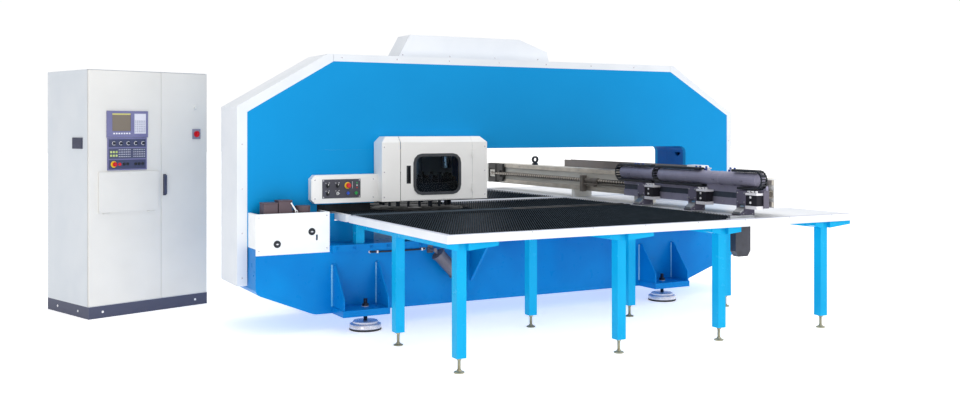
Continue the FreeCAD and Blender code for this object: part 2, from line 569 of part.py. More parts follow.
def lower_turret():
    """Lower turret disc with its die seats."""
    disc = prism(32, TURRET_R, (TURRET_X, 0, LOWER_LOW), (TURRET_X, 0, LOWER_HIGH))
    disc = disc.cut(rod(SPINDLE_R + RUN_FIT, (TURRET_X, 0, LOWER_LOW - 1), (TURRET_X, 0, LOWER_HIGH + 1)))
    for i, x, y in station_places():
        die_r = 16.0 if i % 3 == 0 else 9.0
        disc = disc.cut(prism(4, die_r, (x, y, LOWER_HIGH - 30), (x, y, LOWER_HIGH + 1)))
    return disc


def turret_posts():
    """Flanged spindles of both turrets, and the drive motor hung from the throat's ceiling."""
    def stack(sides, radius, low, high):
        return prism(sides, radius, (TURRET_X, 0, low), (TURRET_X, 0, high))
    upper = [stack(16, SPINDLE_FLANGE_R, THROAT_TOP - 60, THROAT_TOP),
             stack(24, SPINDLE_R, UPPER_LOW - SEAT, THROAT_TOP - 60),
             stack(16, SPINDLE_FLANGE_R, UPPER_LOW - 20, UPPER_LOW - SEAT)]
    lower = [stack(16, SPINDLE_FLANGE_R, BEAM_TOP, LOWER_LOW - SEAT),
             stack(24, SPINDLE_R, LOWER_LOW - SEAT, LOWER_HIGH)]
    x = pinion_x()
    motor = box(x - 65, x + 75, -75, 75, THROAT_TOP - 190, THROAT_TOP)
    nose = prism(8, 45, (x, 0, THROAT_TOP - 215), (x, 0, THROAT_TOP - 190))
    shaft = rod(SHAFT_R, (x, 0, GEAR_LOW + 2), (x, 0, THROAT_TOP - 215))
    return upper + lower + [motor, nose, shaft]


def pinion_x():
    return TURRET_X - GEAR_MODULE * (RING_TEETH + PINION_TEETH) / 2.0


def drive_pinion():
    gear = slab_z(gear_outline(PINION_TEETH, pinion_x(), 0, 0.0), GEAR_LOW, GEAR_HIGH)
    hub = prism(8, 28, (pinion_x(), 0, GEAR_HIGH), (pinion_x(), 0, GEAR_HIGH + 22))
    bore = prism(8, snug(SHAFT_R), (pinion_x(), 0, GEAR_LOW - 1), (pinion_x(), 0, GEAR_HIGH + 40))
    return fused([gear, hub]).cut(bore)


def ram_cylinder():
    """Hydraulic ram: flange on the throat's ceiling web, barrel, and valve head in the hood."""
    x = TURRET_X + STATION_R
    seat = THROAT_TOP + FRAME_WEB
    hood_top = FRAME_TOP + COVER_TOP + HOOD_RISE
    flange = prism(16, RAM_FLANGE_R, (x, 0, seat), (x, 0, seat + 40))
    barrel = prism(16, RAM_R, (x, 0, seat + 40), (x, 0, FRAME_TOP + COVER_TOP + 10))
    head = box(x - 130, x + 170, -95, 95, FRAME_TOP + COVER_TOP + 10, hood_top - 30)
    ram = fused([flange, barrel, head])
    return ram.cut(rod(STRIKER_R + RUN_FIT, (x, 0, seat - 1), (x, 0, seat + 150)))


def striker():
    x = TURRET_X + STATION_R
    return rod(STRIKER_R, (x, 0, PUNCH_HEAD + STRIKER_STROKE + 2), (x, 0, THROAT_TOP + FRAME_WEB + 110))


# ---------------------------------------------------------------- turret enclosure
def hipped(x0, x1, y0, y1, z0, z1, hip):
    """Box whose top slopes in on its two ends and its front."""
    shoulder = z1 - hip
    low = box(x0, x1, y0, y1, z0, shoulder)
    rings = []
    for inset, z in ((0.0, shoulder), (hip, z1)):
        points = [V(x0 + inset, y0 + inset, z), V(x1 - inset, y0 + inset, z), V(x1 - inset, y1, z),
                  V(x0 + inset, y1, z)]
        rings.append(Part.makePolygon(points + points[:1]))
    return fused([low, Part.makeLoft(rings, True, True)])


def enclosure_shell():
    outer = hipped(ENC_LEFT, ENC_RIGHT, ENC_FRONT, -FRAME_HALF, ENC_LOW, ENC_HIGH, ENC_HIP)
    inner = hipped(ENC_LEFT + SHEET, ENC_RIGHT - SHEET, ENC_FRONT + SHEET, -FRAME_HALF + 1,
                   ENC_LOW - 1, ENC_HIGH - SHEET, ENC_HIP - 1)
    return outer.cut(inner)


def hinge_axis():
    return DOOR_RIGHT - 1.0, ENC_FRONT - HINGE_R - SEAT


def hinge_places():
    return (ENC_LOW + 60.0, ENC_HIGH - ENC_HIP - 130.0)


def enclosure_near():
    """Fixed shell on the operator's side, with the door's two hinge halves and pins."""
    shell = enclosure_shell()
    opening = box(DOOR_LEFT, DOOR_RIGHT, ENC_FRONT - 1, ENC_FRONT + ENC_HIP + 1, ENC_LOW + 4, ENC_HIGH + 1)
    parts = [shell.cut(opening)]
    x, y = hinge_axis()
    for z in hinge_places():
        leaf = box(x + HINGE_R + SEAT, x + 30, ENC_FRONT - 2.5, ENC_FRONT, z, z + 70)
        for low in (z, z + 52):
            parts.append(prism(6, HINGE_R, (x, y, low), (x, y, low + 18)))
            parts.append(box(x, x + 8, y - 1, ENC_FRONT, low, low + 18))
        parts += [leaf, rod(HINGE_PIN_R, (x, y, z), (x, y, z + 70))]
    return fused(parts)


def enclosure_far():
    return far_side(enclosure_shell())


def enclosure_door():
    """Door panel that takes the enclosure's front and its sloping brow, with a window hole."""
    clear = box(DOOR_LEFT + DOOR_GAP, DOOR_RIGHT - 2, ENC_FRONT - 1, ENC_FRONT + ENC_HIP - 1,
                ENC_LOW + 6, ENC_HIGH - 1)
    door = enclosure_shell().common(clear)
    door = door.cut(slab_y(window_ring(0), ENC_FRONT - 1, ENC_FRONT + SHEET + 1))
    door = door.cut(box(GRIP[0] + 4, GRIP[1] - 4, ENC_FRONT - 1, ENC_FRONT + SHEET + 1,
                        GRIP[2] + 4, GRIP[3] - 4))
    x, y = hinge_axis()
    parts = [door]
    for z in hinge_places():
        low, high = z + 18 + SEAT, z + 52 - SEAT
        knuckle = prism(6, HINGE_R, (x, y, low), (x, y, high))
        leaf = box(x - 30, x - 2, ENC_FRONT - 2.5, ENC_FRONT, low, high)
        tie = box(x - 8, x, y - 1, ENC_FRONT - 1, low, high)
        bore = prism(8, snug(HINGE_PIN_R), (x, y, low - 1), (x, y, high + 1))
        parts.append(fused([knuckle, leaf, tie]).cut(bore))
    return fused(parts)


def window_ring(grow):
    """Window outline whose round corners are made of flats, grown on all sides."""
    left, right, low, high = WINDOW
    radius = WINDOW_CORNER + grow
    corners = []
    for u, w, first in ((right, low, -90), (right, high, 0), (left, high, 90), (left, low, 180)):
        middle_u = u - math.copysign(WINDOW_CORNER, u - (left + right) / 2)
        middle_w = w - math.copysign(WINDOW_CORNER, w - (low + high) / 2)
        for step in range(WINDOW_STEPS + 1):
            angle = math.radians(first + 90.0 * step / WINDOW_STEPS)
            corners.append((middle_u + radius * math.cos(angle), middle_w + radius * math.sin(angle)))
    return corners


def door_window():
    return slab_y(window_ring(-4), ENC_FRONT - 1, ENC_FRONT + SHEET + 1)


def window_gasket():
    """Rubber profile that grips the door's sheet outside and the pane inside."""
    ring = slab_y(window_ring(10), ENC_FRONT - 5, ENC_FRONT + SHEET + 5)
    ring = ring.cut(slab_y(window_ring(-14), ENC_FRONT - 6, ENC_FRONT + SHEET + 6))
    sheet = slab_y(window_ring(20), ENC_FRONT, ENC_FRONT + SHEET)
    sheet = sheet.cut(slab_y(window_ring(0), ENC_FRONT - 1, ENC_FRONT + SHEET + 1))
    return ring.cut(sheet).cut(door_window())


def door_handle():
    """Recessed pull let into the door."""
    left, right, low, high = GRIP
    flange = box(left, right, ENC_FRONT - 3, ENC_FRONT, low, high)
    cup = box(left + 4, right - 4, ENC_FRONT, ENC_FRONT + 26, low + 4, high - 4)
    pocket = box(left + 8, right - 8, ENC_FRONT - 4, ENC_FRONT + 22, low + 8, high - 8)
    lip = box(left + 8, left + 14, ENC_FRONT - 1, ENC_FRONT + 8, low + 8, high - 8)
    return fused([fused([flange, cup]).cut(pocket), lip])


# ---------------------------------------------------------------- control box
def control_outline(inset=0.0):
    cut = 30.0
    return [(CTRL_LEFT + inset, CTRL_LOW + cut), (CTRL_LEFT + cut, CTRL_LOW + inset),
            (CTRL_RIGHT - inset, CTRL_LOW + inset), (CTRL_RIGHT - inset, CTRL_HIGH - inset),
            (CTRL_LEFT + cut, CTRL_HIGH - inset), (CTRL_LEFT + inset, CTRL_HIGH - cut)]


CONTROLS = {                # column, row, head radius, kind
    "selector_upper": (0, 0, 15.0, "selector"),
    "selector_lower": (0, 1, 15.0, "selector"),
    "selector_right": (1, 0, 15.0, "selector"),
    "key_switch": (1, 1, 14.0, "key"),
    "emergency_stop": (2, 0, 20.0, "mushroom"),
    "hold_button": (2, 1, 15.0, "button"),
    "start_button": (3, 1, 15.0, "button"),
}


def control_place(name):
    column, row = CONTROLS[name][:2]
    return CTRL_COLUMNS[column], CTRL_ROWS[row]


def control_box():
    """Sheet-metal box on the frame's left column, with holes behind the controls."""
    shell = slab_y(control_outline(), CTRL_FRONT, -FRAME_HALF)
    shell = shell.cut(slab_y(control_outline(2.0), CTRL_FRONT + 2.0, -FRAME_HALF - 2.0))
    for name in CONTROLS:
        x, z = control_place(name)
        shell = shell.cut(prism(6, STEM_R + 3, (x, CTRL_FRONT - 1, z), (x, CTRL_FRONT + 3, z)))
    return shell


def control_panel():
    """Dark panel plate with bored seats, a raised divider and a lamp column."""
    left, right, low, high = PANEL
    front = CTRL_FRONT - PANEL_THICK
    plate = box(left, right, front, CTRL_FRONT, low, high)
    parts = [plate, box(118, 121, front - 1.5, front, 1085, 1140)]
    for z in (1128, 1109, 1090):
        parts.append(prism(8, 6, (158, front - 5, z), (158, front, z)))
    panel = fused(parts)
    for name in CONTROLS:
        x, z = control_place(name)
        ends = ((x, front - 1, z), (x, CTRL_FRONT + 1, z))
        turns = CONTROLS[name][3] in ("selector", "key")
        panel = panel.cut(rod(STEM_R + SEAT, *ends) if turns else prism(6, STEM_R + 1, *ends))
    return panel


def control_piece(name):
    """A control's head and stem; the head stands off the panel by the control's travel."""
    x, z = control_place(name)
    radius, kind = CONTROLS[name][2:]
    front = CTRL_FRONT - PANEL_THICK
    stem = prism(8, STEM_R, (x, front - 7, z), (x, CTRL_FRONT + 12, z))
    if kind == "selector":
        head = prism(12, radius, (x, front - 6, z), (x, front - SEAT, z))
        grip = slab_y([(x - 4, z - radius), (x + 4, z - radius), (x + 3, z + radius), (x - 3, z + radius)],
                      front - 20, front - 6)
        return fused([stem, head, grip])
    if kind == "key":
        head = prism(12, radius, (x, front - 6, z), (x, front - SEAT, z))
        blade = box(x - 4, x + 4, front - 19, front - 6, z - 1.5, z + 1.5)
        return fused([stem, head, blade, box(x - 9, x + 9, front - 32, front - 18, z - 1.5, z + 1.5)])
    if kind == "mushroom":
        neck = prism(8, 10, (x, front - 20, z), (x, front - 6, z))
        cap = prism(16, radius, (x, front - 27, z), (x, front - 18, z))
        crown = prism(16, radius - 5, (x, front - 32, z), (x, front - 27, z))
        return fused([stem, neck, cap, crown])
    reach = radius
    corners = [(x - reach, z), (x, z - reach), (x + reach, z), (x, z + reach)]
    return fused([stem, slab_y(corners, front - 14, front - 6)])


# ---------------------------------------------------------------- tables
def table_tray(x0, x1, y0, y1, recess_x1):
    """Folded table section: a skirt round a panel, recessed where the brushes stand."""
    tray = box(x0, x1, y0, y1, PASS_Z - TABLE_SKIRT, PASS_Z)
    under = box(x0 + 4, x1 - 4, y0 + 4, y1 - 4, PASS_Z - TABLE_SKIRT - 1, PASS_Z - TABLE_PANEL)
    recess = box(x0 + TABLE_BORDER, recess_x1, y0 + TABLE_BORDER, y1 - TABLE_BORDER,
                 PASS_Z - BRUSH_DEPTH, PASS_Z + 1)
    return tray.cut(under).cut(recess)


def table_tops():
    near = table_tray(0, TABLE_RIGHT, -TABLE_EDGE, -SLOT_FAR, BRUSH_RIGHT)
    slot = box(GAUGE_X - GAUGE_BAR / 2 - 2, GAUGE_X + GAUGE_BAR / 2 + 2, GAUGE_Y - 16, GAUGE_Y + 16,
               PASS_Z - 40, PASS_Z + 1)
    lining = box(GAUGE_X - GAUGE_BAR / 2 - 8, GAUGE_X + GAUGE_BAR / 2 + 8, GAUGE_Y - 22, GAUGE_Y + 22,
                 PASS_Z - TABLE_PANEL, PASS_Z)
    centre = table_tray(0, CENTRE_RIGHT, -SLOT_NEAR, SLOT_NEAR, BRUSH_RIGHT)
    hole = prism(32, TURRET_HOLE_R + 2, (TURRET_X, 0, PASS_Z - 100), (TURRET_X, 0, PASS_Z + 10))
    collar = prism(32, TURRET_HOLE_R + 14, (TURRET_X, 0, PASS_Z - TABLE_PANEL), (TURRET_X, 0, PASS_Z))
    far = far_side(table_tray(0, TABLE_RIGHT, -TABLE_EDGE, -SLOT_FAR, BRUSH_RIGHT))
    return [fused([near, lining]).cut(slot), fused([centre, collar]).cut(hole), far]


def brush_field():
    """Brush boards side by side on the floor of each table's recess."""
    floor = PASS_Z - BRUSH_DEPTH
    hole = prism(32, TURRET_HOLE_R + 14, (TURRET_X, 0, floor - 10), (TURRET_X, 0, PASS_Z + 10))
    gauge = box(GAUGE_X - GAUGE_BAR / 2 - 8, GAUGE_X + GAUGE_BAR / 2 + 8, GAUGE_Y - 22, GAUGE_Y + 22,
                floor - 10, PASS_Z + 10)
    count = int((BRUSH_RIGHT - TABLE_BORDER) // BRUSH_PITCH)
    boards = []
    for y0, y1 in ((-TABLE_EDGE, -SLOT_FAR), (-SLOT_NEAR, SLOT_NEAR), (SLOT_FAR, TABLE_EDGE)):
        for i in range(count):
            x = TABLE_BORDER + 4 + i * BRUSH_PITCH
            board = box(x, x + BRUSH_PITCH - 8, y0 + TABLE_BORDER + 6, y1 - TABLE_BORDER - 6,
                        floor, PASS_Z - 1)
            boards += board.cut(hole).cut(gauge).Solids
    return boards


def stand_arm(x, side):
    """Tapered arm beside an outer leg's head; side is -1 for the left one."""
    half = LEG / 2
    reach = ARM_LEFT if side < 0 else ARM_RIGHT
    top = PASS_Z - TABLE_PANEL
    root, tip = x + side * half, x + side * (half + reach)
    return slab_y([(root, STAND_BEAM_LOW), (tip, ARM_TIP), (tip, top), (root, top)],
                  -OUTER_ROW - half - ARM_PROUD, -OUTER_ROW + half)


def table_stand():
    """Stand of the operator-side table: tubes, each its own solid, butted where they are welded."""
    parts = []
    top = PASS_Z - TABLE_PANEL
    half = LEG / 2
    for x in LEG_STATIONS:
        parts.append(box(x - half, x + half, -OUTER_ROW - half, -SLOT_FAR - 60, STAND_BEAM_LOW, top))
        parts.append(box(x - half, x + half, -OUTER_ROW - half, -OUTER_ROW + half, LEG_BOTTOM,
                         STAND_BEAM_LOW))
        parts += [stand_arm(x, -1), stand_arm(x, 1)]
    for x, row in INNER_LEGS:
        parts.append(box(x - half, x + half, -row - half, -row + half, LEG_BOTTOM, STAND_BEAM_LOW))
    row = INNER_LEGS[-1][1]
    for left, right in zip(LEG_STATIONS, LEG_STATIONS[1:]):
        parts.append(box(left + half, right - half, -row - half, -row + half, STAND_BEAM_LOW, top))
    return parts


def table_stands():
    posts = []
    half = LEG / 2
    for x in POST_STATIONS:
        post = box(x - half, x + half, -POST_Y - half, -POST_Y + half, BEAM_TOP, PASS_Z - TABLE_PANEL)
        posts += both_sides(post)
    room = box(GAUGE_X - GAUGE_HALF - SEAT, GAUGE_X + GAUGE_HALF + SEAT, -TABLE_EDGE,
               GAUGE_Y + 60, STAND_BEAM_LOW - 1, PASS_Z)
    near = [tube.cut(room) for tube in table_stand()]
    return near + [far_side(tube) for tube in table_stand()] + posts


def levelling_feet():
    """Pad and threaded stem under each table leg."""
    feet = []
    places = [(x, OUTER_ROW) for x in LEG_STATIONS] + list(INNER_LEGS)
    for side in (-1, 1):
        for x, row in places:
            y = side * row
            pad = prism(6, FOOT_PAD_R, (x, y, 0), (x, y, 9))
            feet.append(fused([pad, prism(6, 13, (x, y, 9), (x, y, LEG_BOTTOM))]))
    return feet


def gauge_housing():
    """Black housing of the gauge stop, hung under the near edge."""
    top = PASS_Z - TABLE_PANEL
    left, right = GAUGE_X - GAUGE_HALF, GAUGE_X + GAUGE_HALF
    outline = [(left + 28, GAUGE_LOW), (right - 28, GAUGE_LOW), (right, GAUGE_LOW + 40), (right, top - 12),
               (left, top - 12), (left, GAUGE_LOW + 40)]
    body = slab_y(outline, GAUGE_Y - GAUGE_DEEP / 2, GAUGE_Y + GAUGE_DEEP / 2)
    hanger = box(left + 4, right - 4, GAUGE_Y - 22, GAUGE_Y + 22, top - 12, top)
    bore = rod(PLUNGER_R, (GAUGE_X, GAUGE_Y, GAUGE_LOW + 90), (GAUGE_X, GAUGE_Y, top + 10))
    return fused([body, hanger]).cut(bore)


def gauge_stop():
    """Stop bar that rises out of the table, on a round plunger."""
    bar = box(GAUGE_X - GAUGE_BAR / 2, GAUGE_X + GAUGE_BAR / 2, GAUGE_Y - 12, GAUGE_Y + 12,
              PASS_Z - 6, PASS_Z + GAUGE_PROUD)
    plunger = rod(PLUNGER_R - RUN_FIT, (GAUGE_X, GAUGE_Y, GAUGE_LOW + 120), (GAUGE_X, GAUGE_Y, PASS_Z - 6))
    return fused([bar, plunger])


# ---------------------------------------------------------------- crossbeam and carriage
def screw_bore(y0, y1):
    return prism(8, snug(SCREW_R), (SCREW_X, y0, SCREW_Z), (SCREW_X, y1, SCREW_Z))


def far_bearing():
    """Screw bearing at the beam's far end: an open frame round a block, and its bracket."""
    left = CAR_PLATE_RIGHT + 2
    frame = box(left, CROSS_LEFT, BEARING_NEAR, BEARING_FAR, CROSS_LOW + 8, CROSS_HIGH)
    pocket = box(left - 1, left + 14, BEARING_NEAR + 11, BEARING_FAR - 24, SCREW_Z - 50, SCREW_Z + 50)
    block = box(left + 4, CROSS_LEFT, BEARING_NEAR + 20, BEARING_FAR - 40, SCREW_Z - 38, SCREW_Z + 38)
    bracket = box(left + 6, CROSS_LEFT, RAIL_FAR, BEARING_NEAR, CROSS_LOW + 22, CROSS_HIGH - 4)
    notch = box(left, left + 20, RAIL_FAR - 1, RAIL_FAR + 60, SCREW_Z - 34, SCREW_Z + 34)
    bearing = fused([frame.cut(pocket), block, bracket.cut(notch)])
    return bearing.cut(screw_bore(RAIL_FAR - 1, BEARING_FAR - 50))


def near_bearing():
    near = -CROSS_HALF + 8
    bearing = box(CAR_PLATE_RIGHT + 2, CROSS_LEFT, near, near + 40, SCREW_Z - 30, SCREW_Z + 30)
    return bearing.cut(screw_bore(near - 1, near + 41))


def crossbeam():
    """Hollow crossbeam with its feet on the ways, screw bearings, cable tray and lifting eye."""
    beam = box(CROSS_LEFT, CROSS_RIGHT, -CROSS_HALF, CROSS_HALF, CROSS_LOW, CROSS_HIGH)
    bore = box(CROSS_LEFT + 22, CROSS_RIGHT - 22, -CROSS_HALF - 1, CROSS_HALF + 1, CROSS_LOW + 22,
               CROSS_HIGH - 22)
    plate_left, plate_top = CROSS_LEFT - 34, CROSS_HIGH - 6
    end_plate = box(plate_left, CROSS_RIGHT, CROSS_HALF, CROSS_HALF + END_PLATE, CROSS_LOW, plate_top)
    cheek = box(plate_left, CROSS_LEFT, BEARING_FAR, CROSS_HALF, CROSS_LOW, plate_top)
    parts = [beam.cut(bore), end_plate, cheek, far_bearing(), near_bearing()]
    rail_y = -(SLOT_NEAR + SLOT_FAR) / 2
    way_top = WAY_HIGH + WAY_RAIL + SEAT
    foot = box(CROSS_LEFT - 10, CROSS_RIGHT + 10, rail_y - 27, rail_y + 27, way_top, CROSS_LOW)
    cheeks = [box(CROSS_LEFT - 10, CROSS_RIGHT + 10, rail_y + s - 6, rail_y + s + 6, way_top - 20, way_top)
              for s in (-WAY_RAIL / 2 - 6 - SEAT, WAY_RAIL / 2 + 6 + SEAT)]
    parts += both_sides(fused([foot] + cheeks))
    return [fused(parts)] + cable_tray()


def cable_tray():
    """Open tray on the beam, its end block, and the lifting eye."""
    left, right, near, far = CROSS_RIGHT - 60, CROSS_RIGHT + 20, TRAY[0], TRAY[1]
    tray = box(left, right, near, far, CROSS_HIGH, CROSS_HIGH + TRAY_RISE)
    tray = tray.cut(box(left + 3, right - 3, near - 1, far + 1, CROSS_HIGH + 3, CROSS_HIGH + TRAY_RISE + 1))
    block = slab_x([(near - 228, CROSS_HIGH), (near, CROSS_HIGH), (near, CROSS_HIGH + TRAY_RISE + 6),
                    (near - 180, CROSS_HIGH + TRAY_RISE + 6)], left, right)
    x, z = CROSS_LEFT + 80, CROSS_HIGH + 56
    eye = prism(10, 38, (x, EYE_Y - 11, z), (x, EYE_Y + 11, z))
    eye = eye.cut(prism(10, 20, (x, EYE_Y - 12, z), (x, EYE_Y + 12, z)))
    collar = box(x - 22, x + 22, EYE_Y - 22, EYE_Y + 22, CROSS_HIGH, CROSS_HIGH + 22)
    return [tray, block, fused([eye, collar])]


def guide_rails():
    rails = []
    for z in RAIL_HEIGHTS:
        rails.append(box(CROSS_LEFT - RAIL_PROUD, CROSS_LEFT, -CROSS_HALF + 4, RAIL_FAR,
                         z - RAIL_WIDE / 2, z + RAIL_WIDE / 2))
    return rails


def ball_screw():
    return rod(SCREW_R, (SCREW_X, -CROSS_HALF + 8, SCREW_Z), (SCREW_X, BEARING_FAR - 60, SCREW_Z))


def nut_bracket():
    """Nut housing ahead of the carriage, on a tie bar under the screw."""
    low, high = NUT_SPAN
    middle = (low + high) / 2
    left = CAR_PLATE_LEFT + 2
    cheek = box(left, SCREW_X + 6, high - 46, high, CROSS_LOW - 4, SCREW_Z + 46)
    hub = prism(10, SCREW_R + 6, (SCREW_X, low, SCREW_Z), (SCREW_X, high - 46, SCREW_Z))
    block = box(left + 12, SCREW_X + 4, low + 30, middle, CROSS_LOW + 52, SCREW_Z - 20)
    tie = box(CAR_PLATE_RIGHT - 8, CAR_PLATE_RIGHT + 6, CAR_FAR - 4, high - 20, TIE_Z, TIE_Z + 14)
    return fused([cheek, hub, block, tie]).cut(screw_bore(low - 1, high + 1))


def carriage():
    """Carriage: channelled plate with guide shoes, the screw's nut, and the round cover tube."""
    plate = box(CAR_PLATE_LEFT, CAR_PLATE_RIGHT, CAR_NEAR, CAR_FAR, CAR_LOW, CAR_HIGH)
    channel = box(CAR_PLATE_LEFT - 1, CAR_PLATE_LEFT + 8, CAR_NEAR - 1, CAR_FAR + 1, *CAR_CHANNEL)
    parts = [plate.cut(channel)]
    shoe_right = CROSS_LEFT - RAIL_PROUD - SEAT
    for y in (CAR_NEAR + 120, (CAR_NEAR + CAR_FAR) / 2 - 60, CAR_FAR - 240):
        for z in RAIL_HEIGHTS:
            parts.append(box(CAR_PLATE_RIGHT, shoe_right, y, y + 120, z - 22, z + 22))
    tubes = [prism(20, TUBE_R, (TUBE_X, near, TUBE_Z), (TUBE_X, far, TUBE_Z))
             for near, far in ((TUBE_NEAR, TUBE_BREAK[0]), (TUBE_BREAK[1], TUBE_FAR))]
    saddle = box(CAR_PLATE_LEFT, CAR_PLATE_RIGHT, TUBE_NEAR + 60, TUBE_FAR - 60, CAR_HIGH, TUBE_Z - 20)
    end_plate = box(CAR_PLATE_LEFT - 30, CAR_PLATE_RIGHT, CAR_NEAR - 8, CAR_NEAR, CAR_LOW, CAR_HIGH - 36)
    parts += tubes + [saddle, end_plate, nut_bracket()]
    return fused(parts)


def chain_loop(y_turn, y_top_end, y_low_end, toward):
    """U-shaped energy chain round the tube; toward is the side its turn faces."""
    inner = TUBE_R + 2.0 + CHAIN_PLAY
    outer = inner + CHAIN_THICK
    x0, x1 = CAR_PLATE_LEFT - SEAT - CHAIN_WIDE, CAR_PLATE_LEFT - SEAT

    def arc(radius):
        angles = [math.radians(90 - 18 * i) for i in range(11)]
        return [(y_turn + toward * radius * math.cos(a), TUBE_Z + radius * math.sin(a)) for a in angles]
    outline = [(y_top_end, TUBE_Z + inner), (y_top_end, TUBE_Z + outer)] + arc(outer)
    outline += [(y_low_end, TUBE_Z - outer), (y_low_end, TUBE_Z - inner)] + arc(inner)[::-1]
    return slab_x(outline, x0, x1)


def energy_chains():
    return [chain_loop(*turn) for turn in CHAIN_TURNS]


def clamp_body(y):
    """Clamp: two cheeks, a lower jaw plate, a pivot pin and the pneumatic block."""
    low = PASS_Z + 3
    left = CLAMP_LEFT
    top = CLAMP_TOP
    cheek_side = [(left, low), (CAR_PLATE_LEFT, low), (CAR_PLATE_LEFT, top), (left + 46, top),
                  (left + 46, CLAMP_PIVOT_Z - 27), (left, CLAMP_PIVOT_Z - 52)]
    parts = []
    for offset in (-CLAMP_HALF, CLAMP_HALF - 10):
        parts.append(slab_y(cheek_side, y + offset, y + offset + 10))
    parts.append(box(left, CAR_PLATE_LEFT, y - CLAMP_HALF, y + CLAMP_HALF, low, low + 6))
    parts.append(box(CAR_PLATE_LEFT - 20, CAR_PLATE_LEFT, y - CLAMP_HALF, y + CLAMP_HALF, low, top))
    parts.append(box(left + 46, left + 54, y - CLAMP_HALF, y + CLAMP_HALF, JAW_CLEAR_Z, top))
    pivot = ((CLAMP_PIVOT_X, y - CLAMP_HALF, CLAMP_PIVOT_Z), (CLAMP_PIVOT_X, y + CLAMP_HALF, CLAMP_PIVOT_Z))
    parts.append(prism(8, PIVOT_R, *pivot))
    near, far = y - CLAMP_HALF - BLOCK_WIDE, y - CLAMP_HALF
    core, cap = CAR_PLATE_LEFT - 20, CAR_PLATE_LEFT - 14
    parts.append(box(core - 68, core, near + 4, far, BLOCK_LOW + 24, BLOCK_HIGH - 16))
    for z0, z1 in ((BLOCK_LOW, BLOCK_LOW + 24), (BLOCK_HIGH - 16, BLOCK_HIGH)):
        parts.append(box(cap - 80, cap, near, far, z0, z1))
    return fused(parts)


def clamp_jaw(y):
    """Upper jaw lever between the cheeks."""
    rise = ((-78, -54), (-40, -48), (-12, -18), (14, -12), (20, 44), (-4, 44), (-22, 0), (-78, -36))
    side = [(CLAMP_PIVOT_X + dx, CLAMP_PIVOT_Z + dz) for dx, dz in rise]
    reach = CLAMP_HALF - 10.5
    jaw = slab_y(side, y - reach, y + reach)
    return jaw.cut(rod(PIVOT_R + RUN_FIT, (CLAMP_PIVOT_X, y - 60, CLAMP_PIVOT_Z),
                       (CLAMP_PIVOT_X, y + 60, CLAMP_PIVOT_Z)))


# ---------------------------------------------------------------- control cabinet
def place_cabinet(shape):
    shape = shape.copy()
    shape.rotate(V(0, 0, 0), UP, CAB_YAW)
    shape.translate(V(CAB_AT[0], CAB_AT[1], 0))
    return shape


def cabinet_body():
    """Carcass of sheet on a plinth, with the doors' pivot pins and the back plate's gear."""
    wall = 3.0
    plinth = box(0, CAB_W, 0, CAB_D, 0, CAB_PLINTH)
    plinth = plinth.cut(box(wall, CAB_W - wall, wall, CAB_D - wall, -1, CAB_PLINTH - wall))
    shell = box(0, CAB_W, 0, CAB_D, CAB_PLINTH, CAB_H)
    shell = shell.cut(box(wall, CAB_W - wall, CAB_DOOR, CAB_D - wall, CAB_PLINTH + wall, CAB_H - wall))
    front = CAB_DOOR + CAB_SEAL
    shell = shell.cut(box(-1, CAB_W + 1, -1, front, CAB_PLINTH + wall, CAB_H - wall))
    parts = [plinth, shell]
    for u in (CAB_PIVOT, CAB_W - CAB_PIVOT):
        parts.append(rod(CAB_PIN_R, (u, 12, CAB_H - 16), (u, 12, CAB_H)))
        parts.append(prism(8, CAB_PIN_R, (u, 12, CAB_PLINTH), (u, 12, CAB_PLINTH + 16)))
    vent = box(-6, 0, 104, 283, 1392, 1484)
    parts.append(vent)
    back = CAB_D - wall
    parts.append(box(120, CAB_W - 120, back - 20, back, 300, 1850))
    for u0, u1, z0, z1, depth in ((180, 420, 1250, 1750, 220), (460, 900, 1300, 1700, 180),
                                  (180, 900, 900, 1040, 120), (220, 520, 420, 760, 260),
                                  (600, 880, 420, 760, 200)):
        parts.append(box(u0, u1, back - 20 - depth, back - 20, z0, z1))
    return place_cabinet(fused(parts))


def cab_door(u0, u1, pivot_u):
    """Door pan with pivot holes at its hinge edge."""
    low, high = CAB_PLINTH + 5, CAB_H - 5
    door = box(u0, u1, 0, CAB_DOOR, low, high)
    door = door.cut(box(u0 + 22, u1 - 22, 2, CAB_DOOR + 1, low + 22, high - 22))
    for z0, z1 in ((low - 1, low + 14), (high - 14, high + 1)):
        door = door.cut(prism(8, snug(CAB_PIN_R), (pivot_u, 12, z0), (pivot_u, 12, z1)))
    return door


FLAP_HINGE_U = (120.0, 520.0)


def cabinet_door_left():
    door = cab_door(2, CAB_SPLIT - 1.5, CAB_PIVOT)
    parts = [door]
    v, z = FLAP_HINGE_V, FLAP_HINGE_Z
    for u in FLAP_HINGE_U:
        parts.append(rod(FLAP_PIN_R, (u, v, z), (u + 60, v, z)))
        for start in (u, u + 45):
            parts.append(prism(6, FLAP_HINGE_R, (start, v, z), (start + 15, v, z)))
            parts.append(box(start, start + 15, v, 0, z - 1.5, z + 1.5))
    return place_cabinet(fused(parts))


def cabinet_door_right():
    door = cab_door(CAB_SPLIT + 1.5, CAB_W - 2, CAB_W - CAB_PIVOT)
    plate = box(951, 1031, -6, 0, 1466, 1555)
    escutcheon = box(668, 696, -4, 0, 984, 1166)
    knob = prism(10, 14, (983, -14, 1742), (983, 0, 1742))
    door = fused([door, plate, escutcheon, knob])
    door = door.cut(rod(STEM_R + SEAT, (991, -7, 1510), (991, 1, 1510)))
    door = door.cut(rod(STEM_R + SEAT, (682, -5, 1142), (682, 1, 1142)))
    return place_cabinet(door)


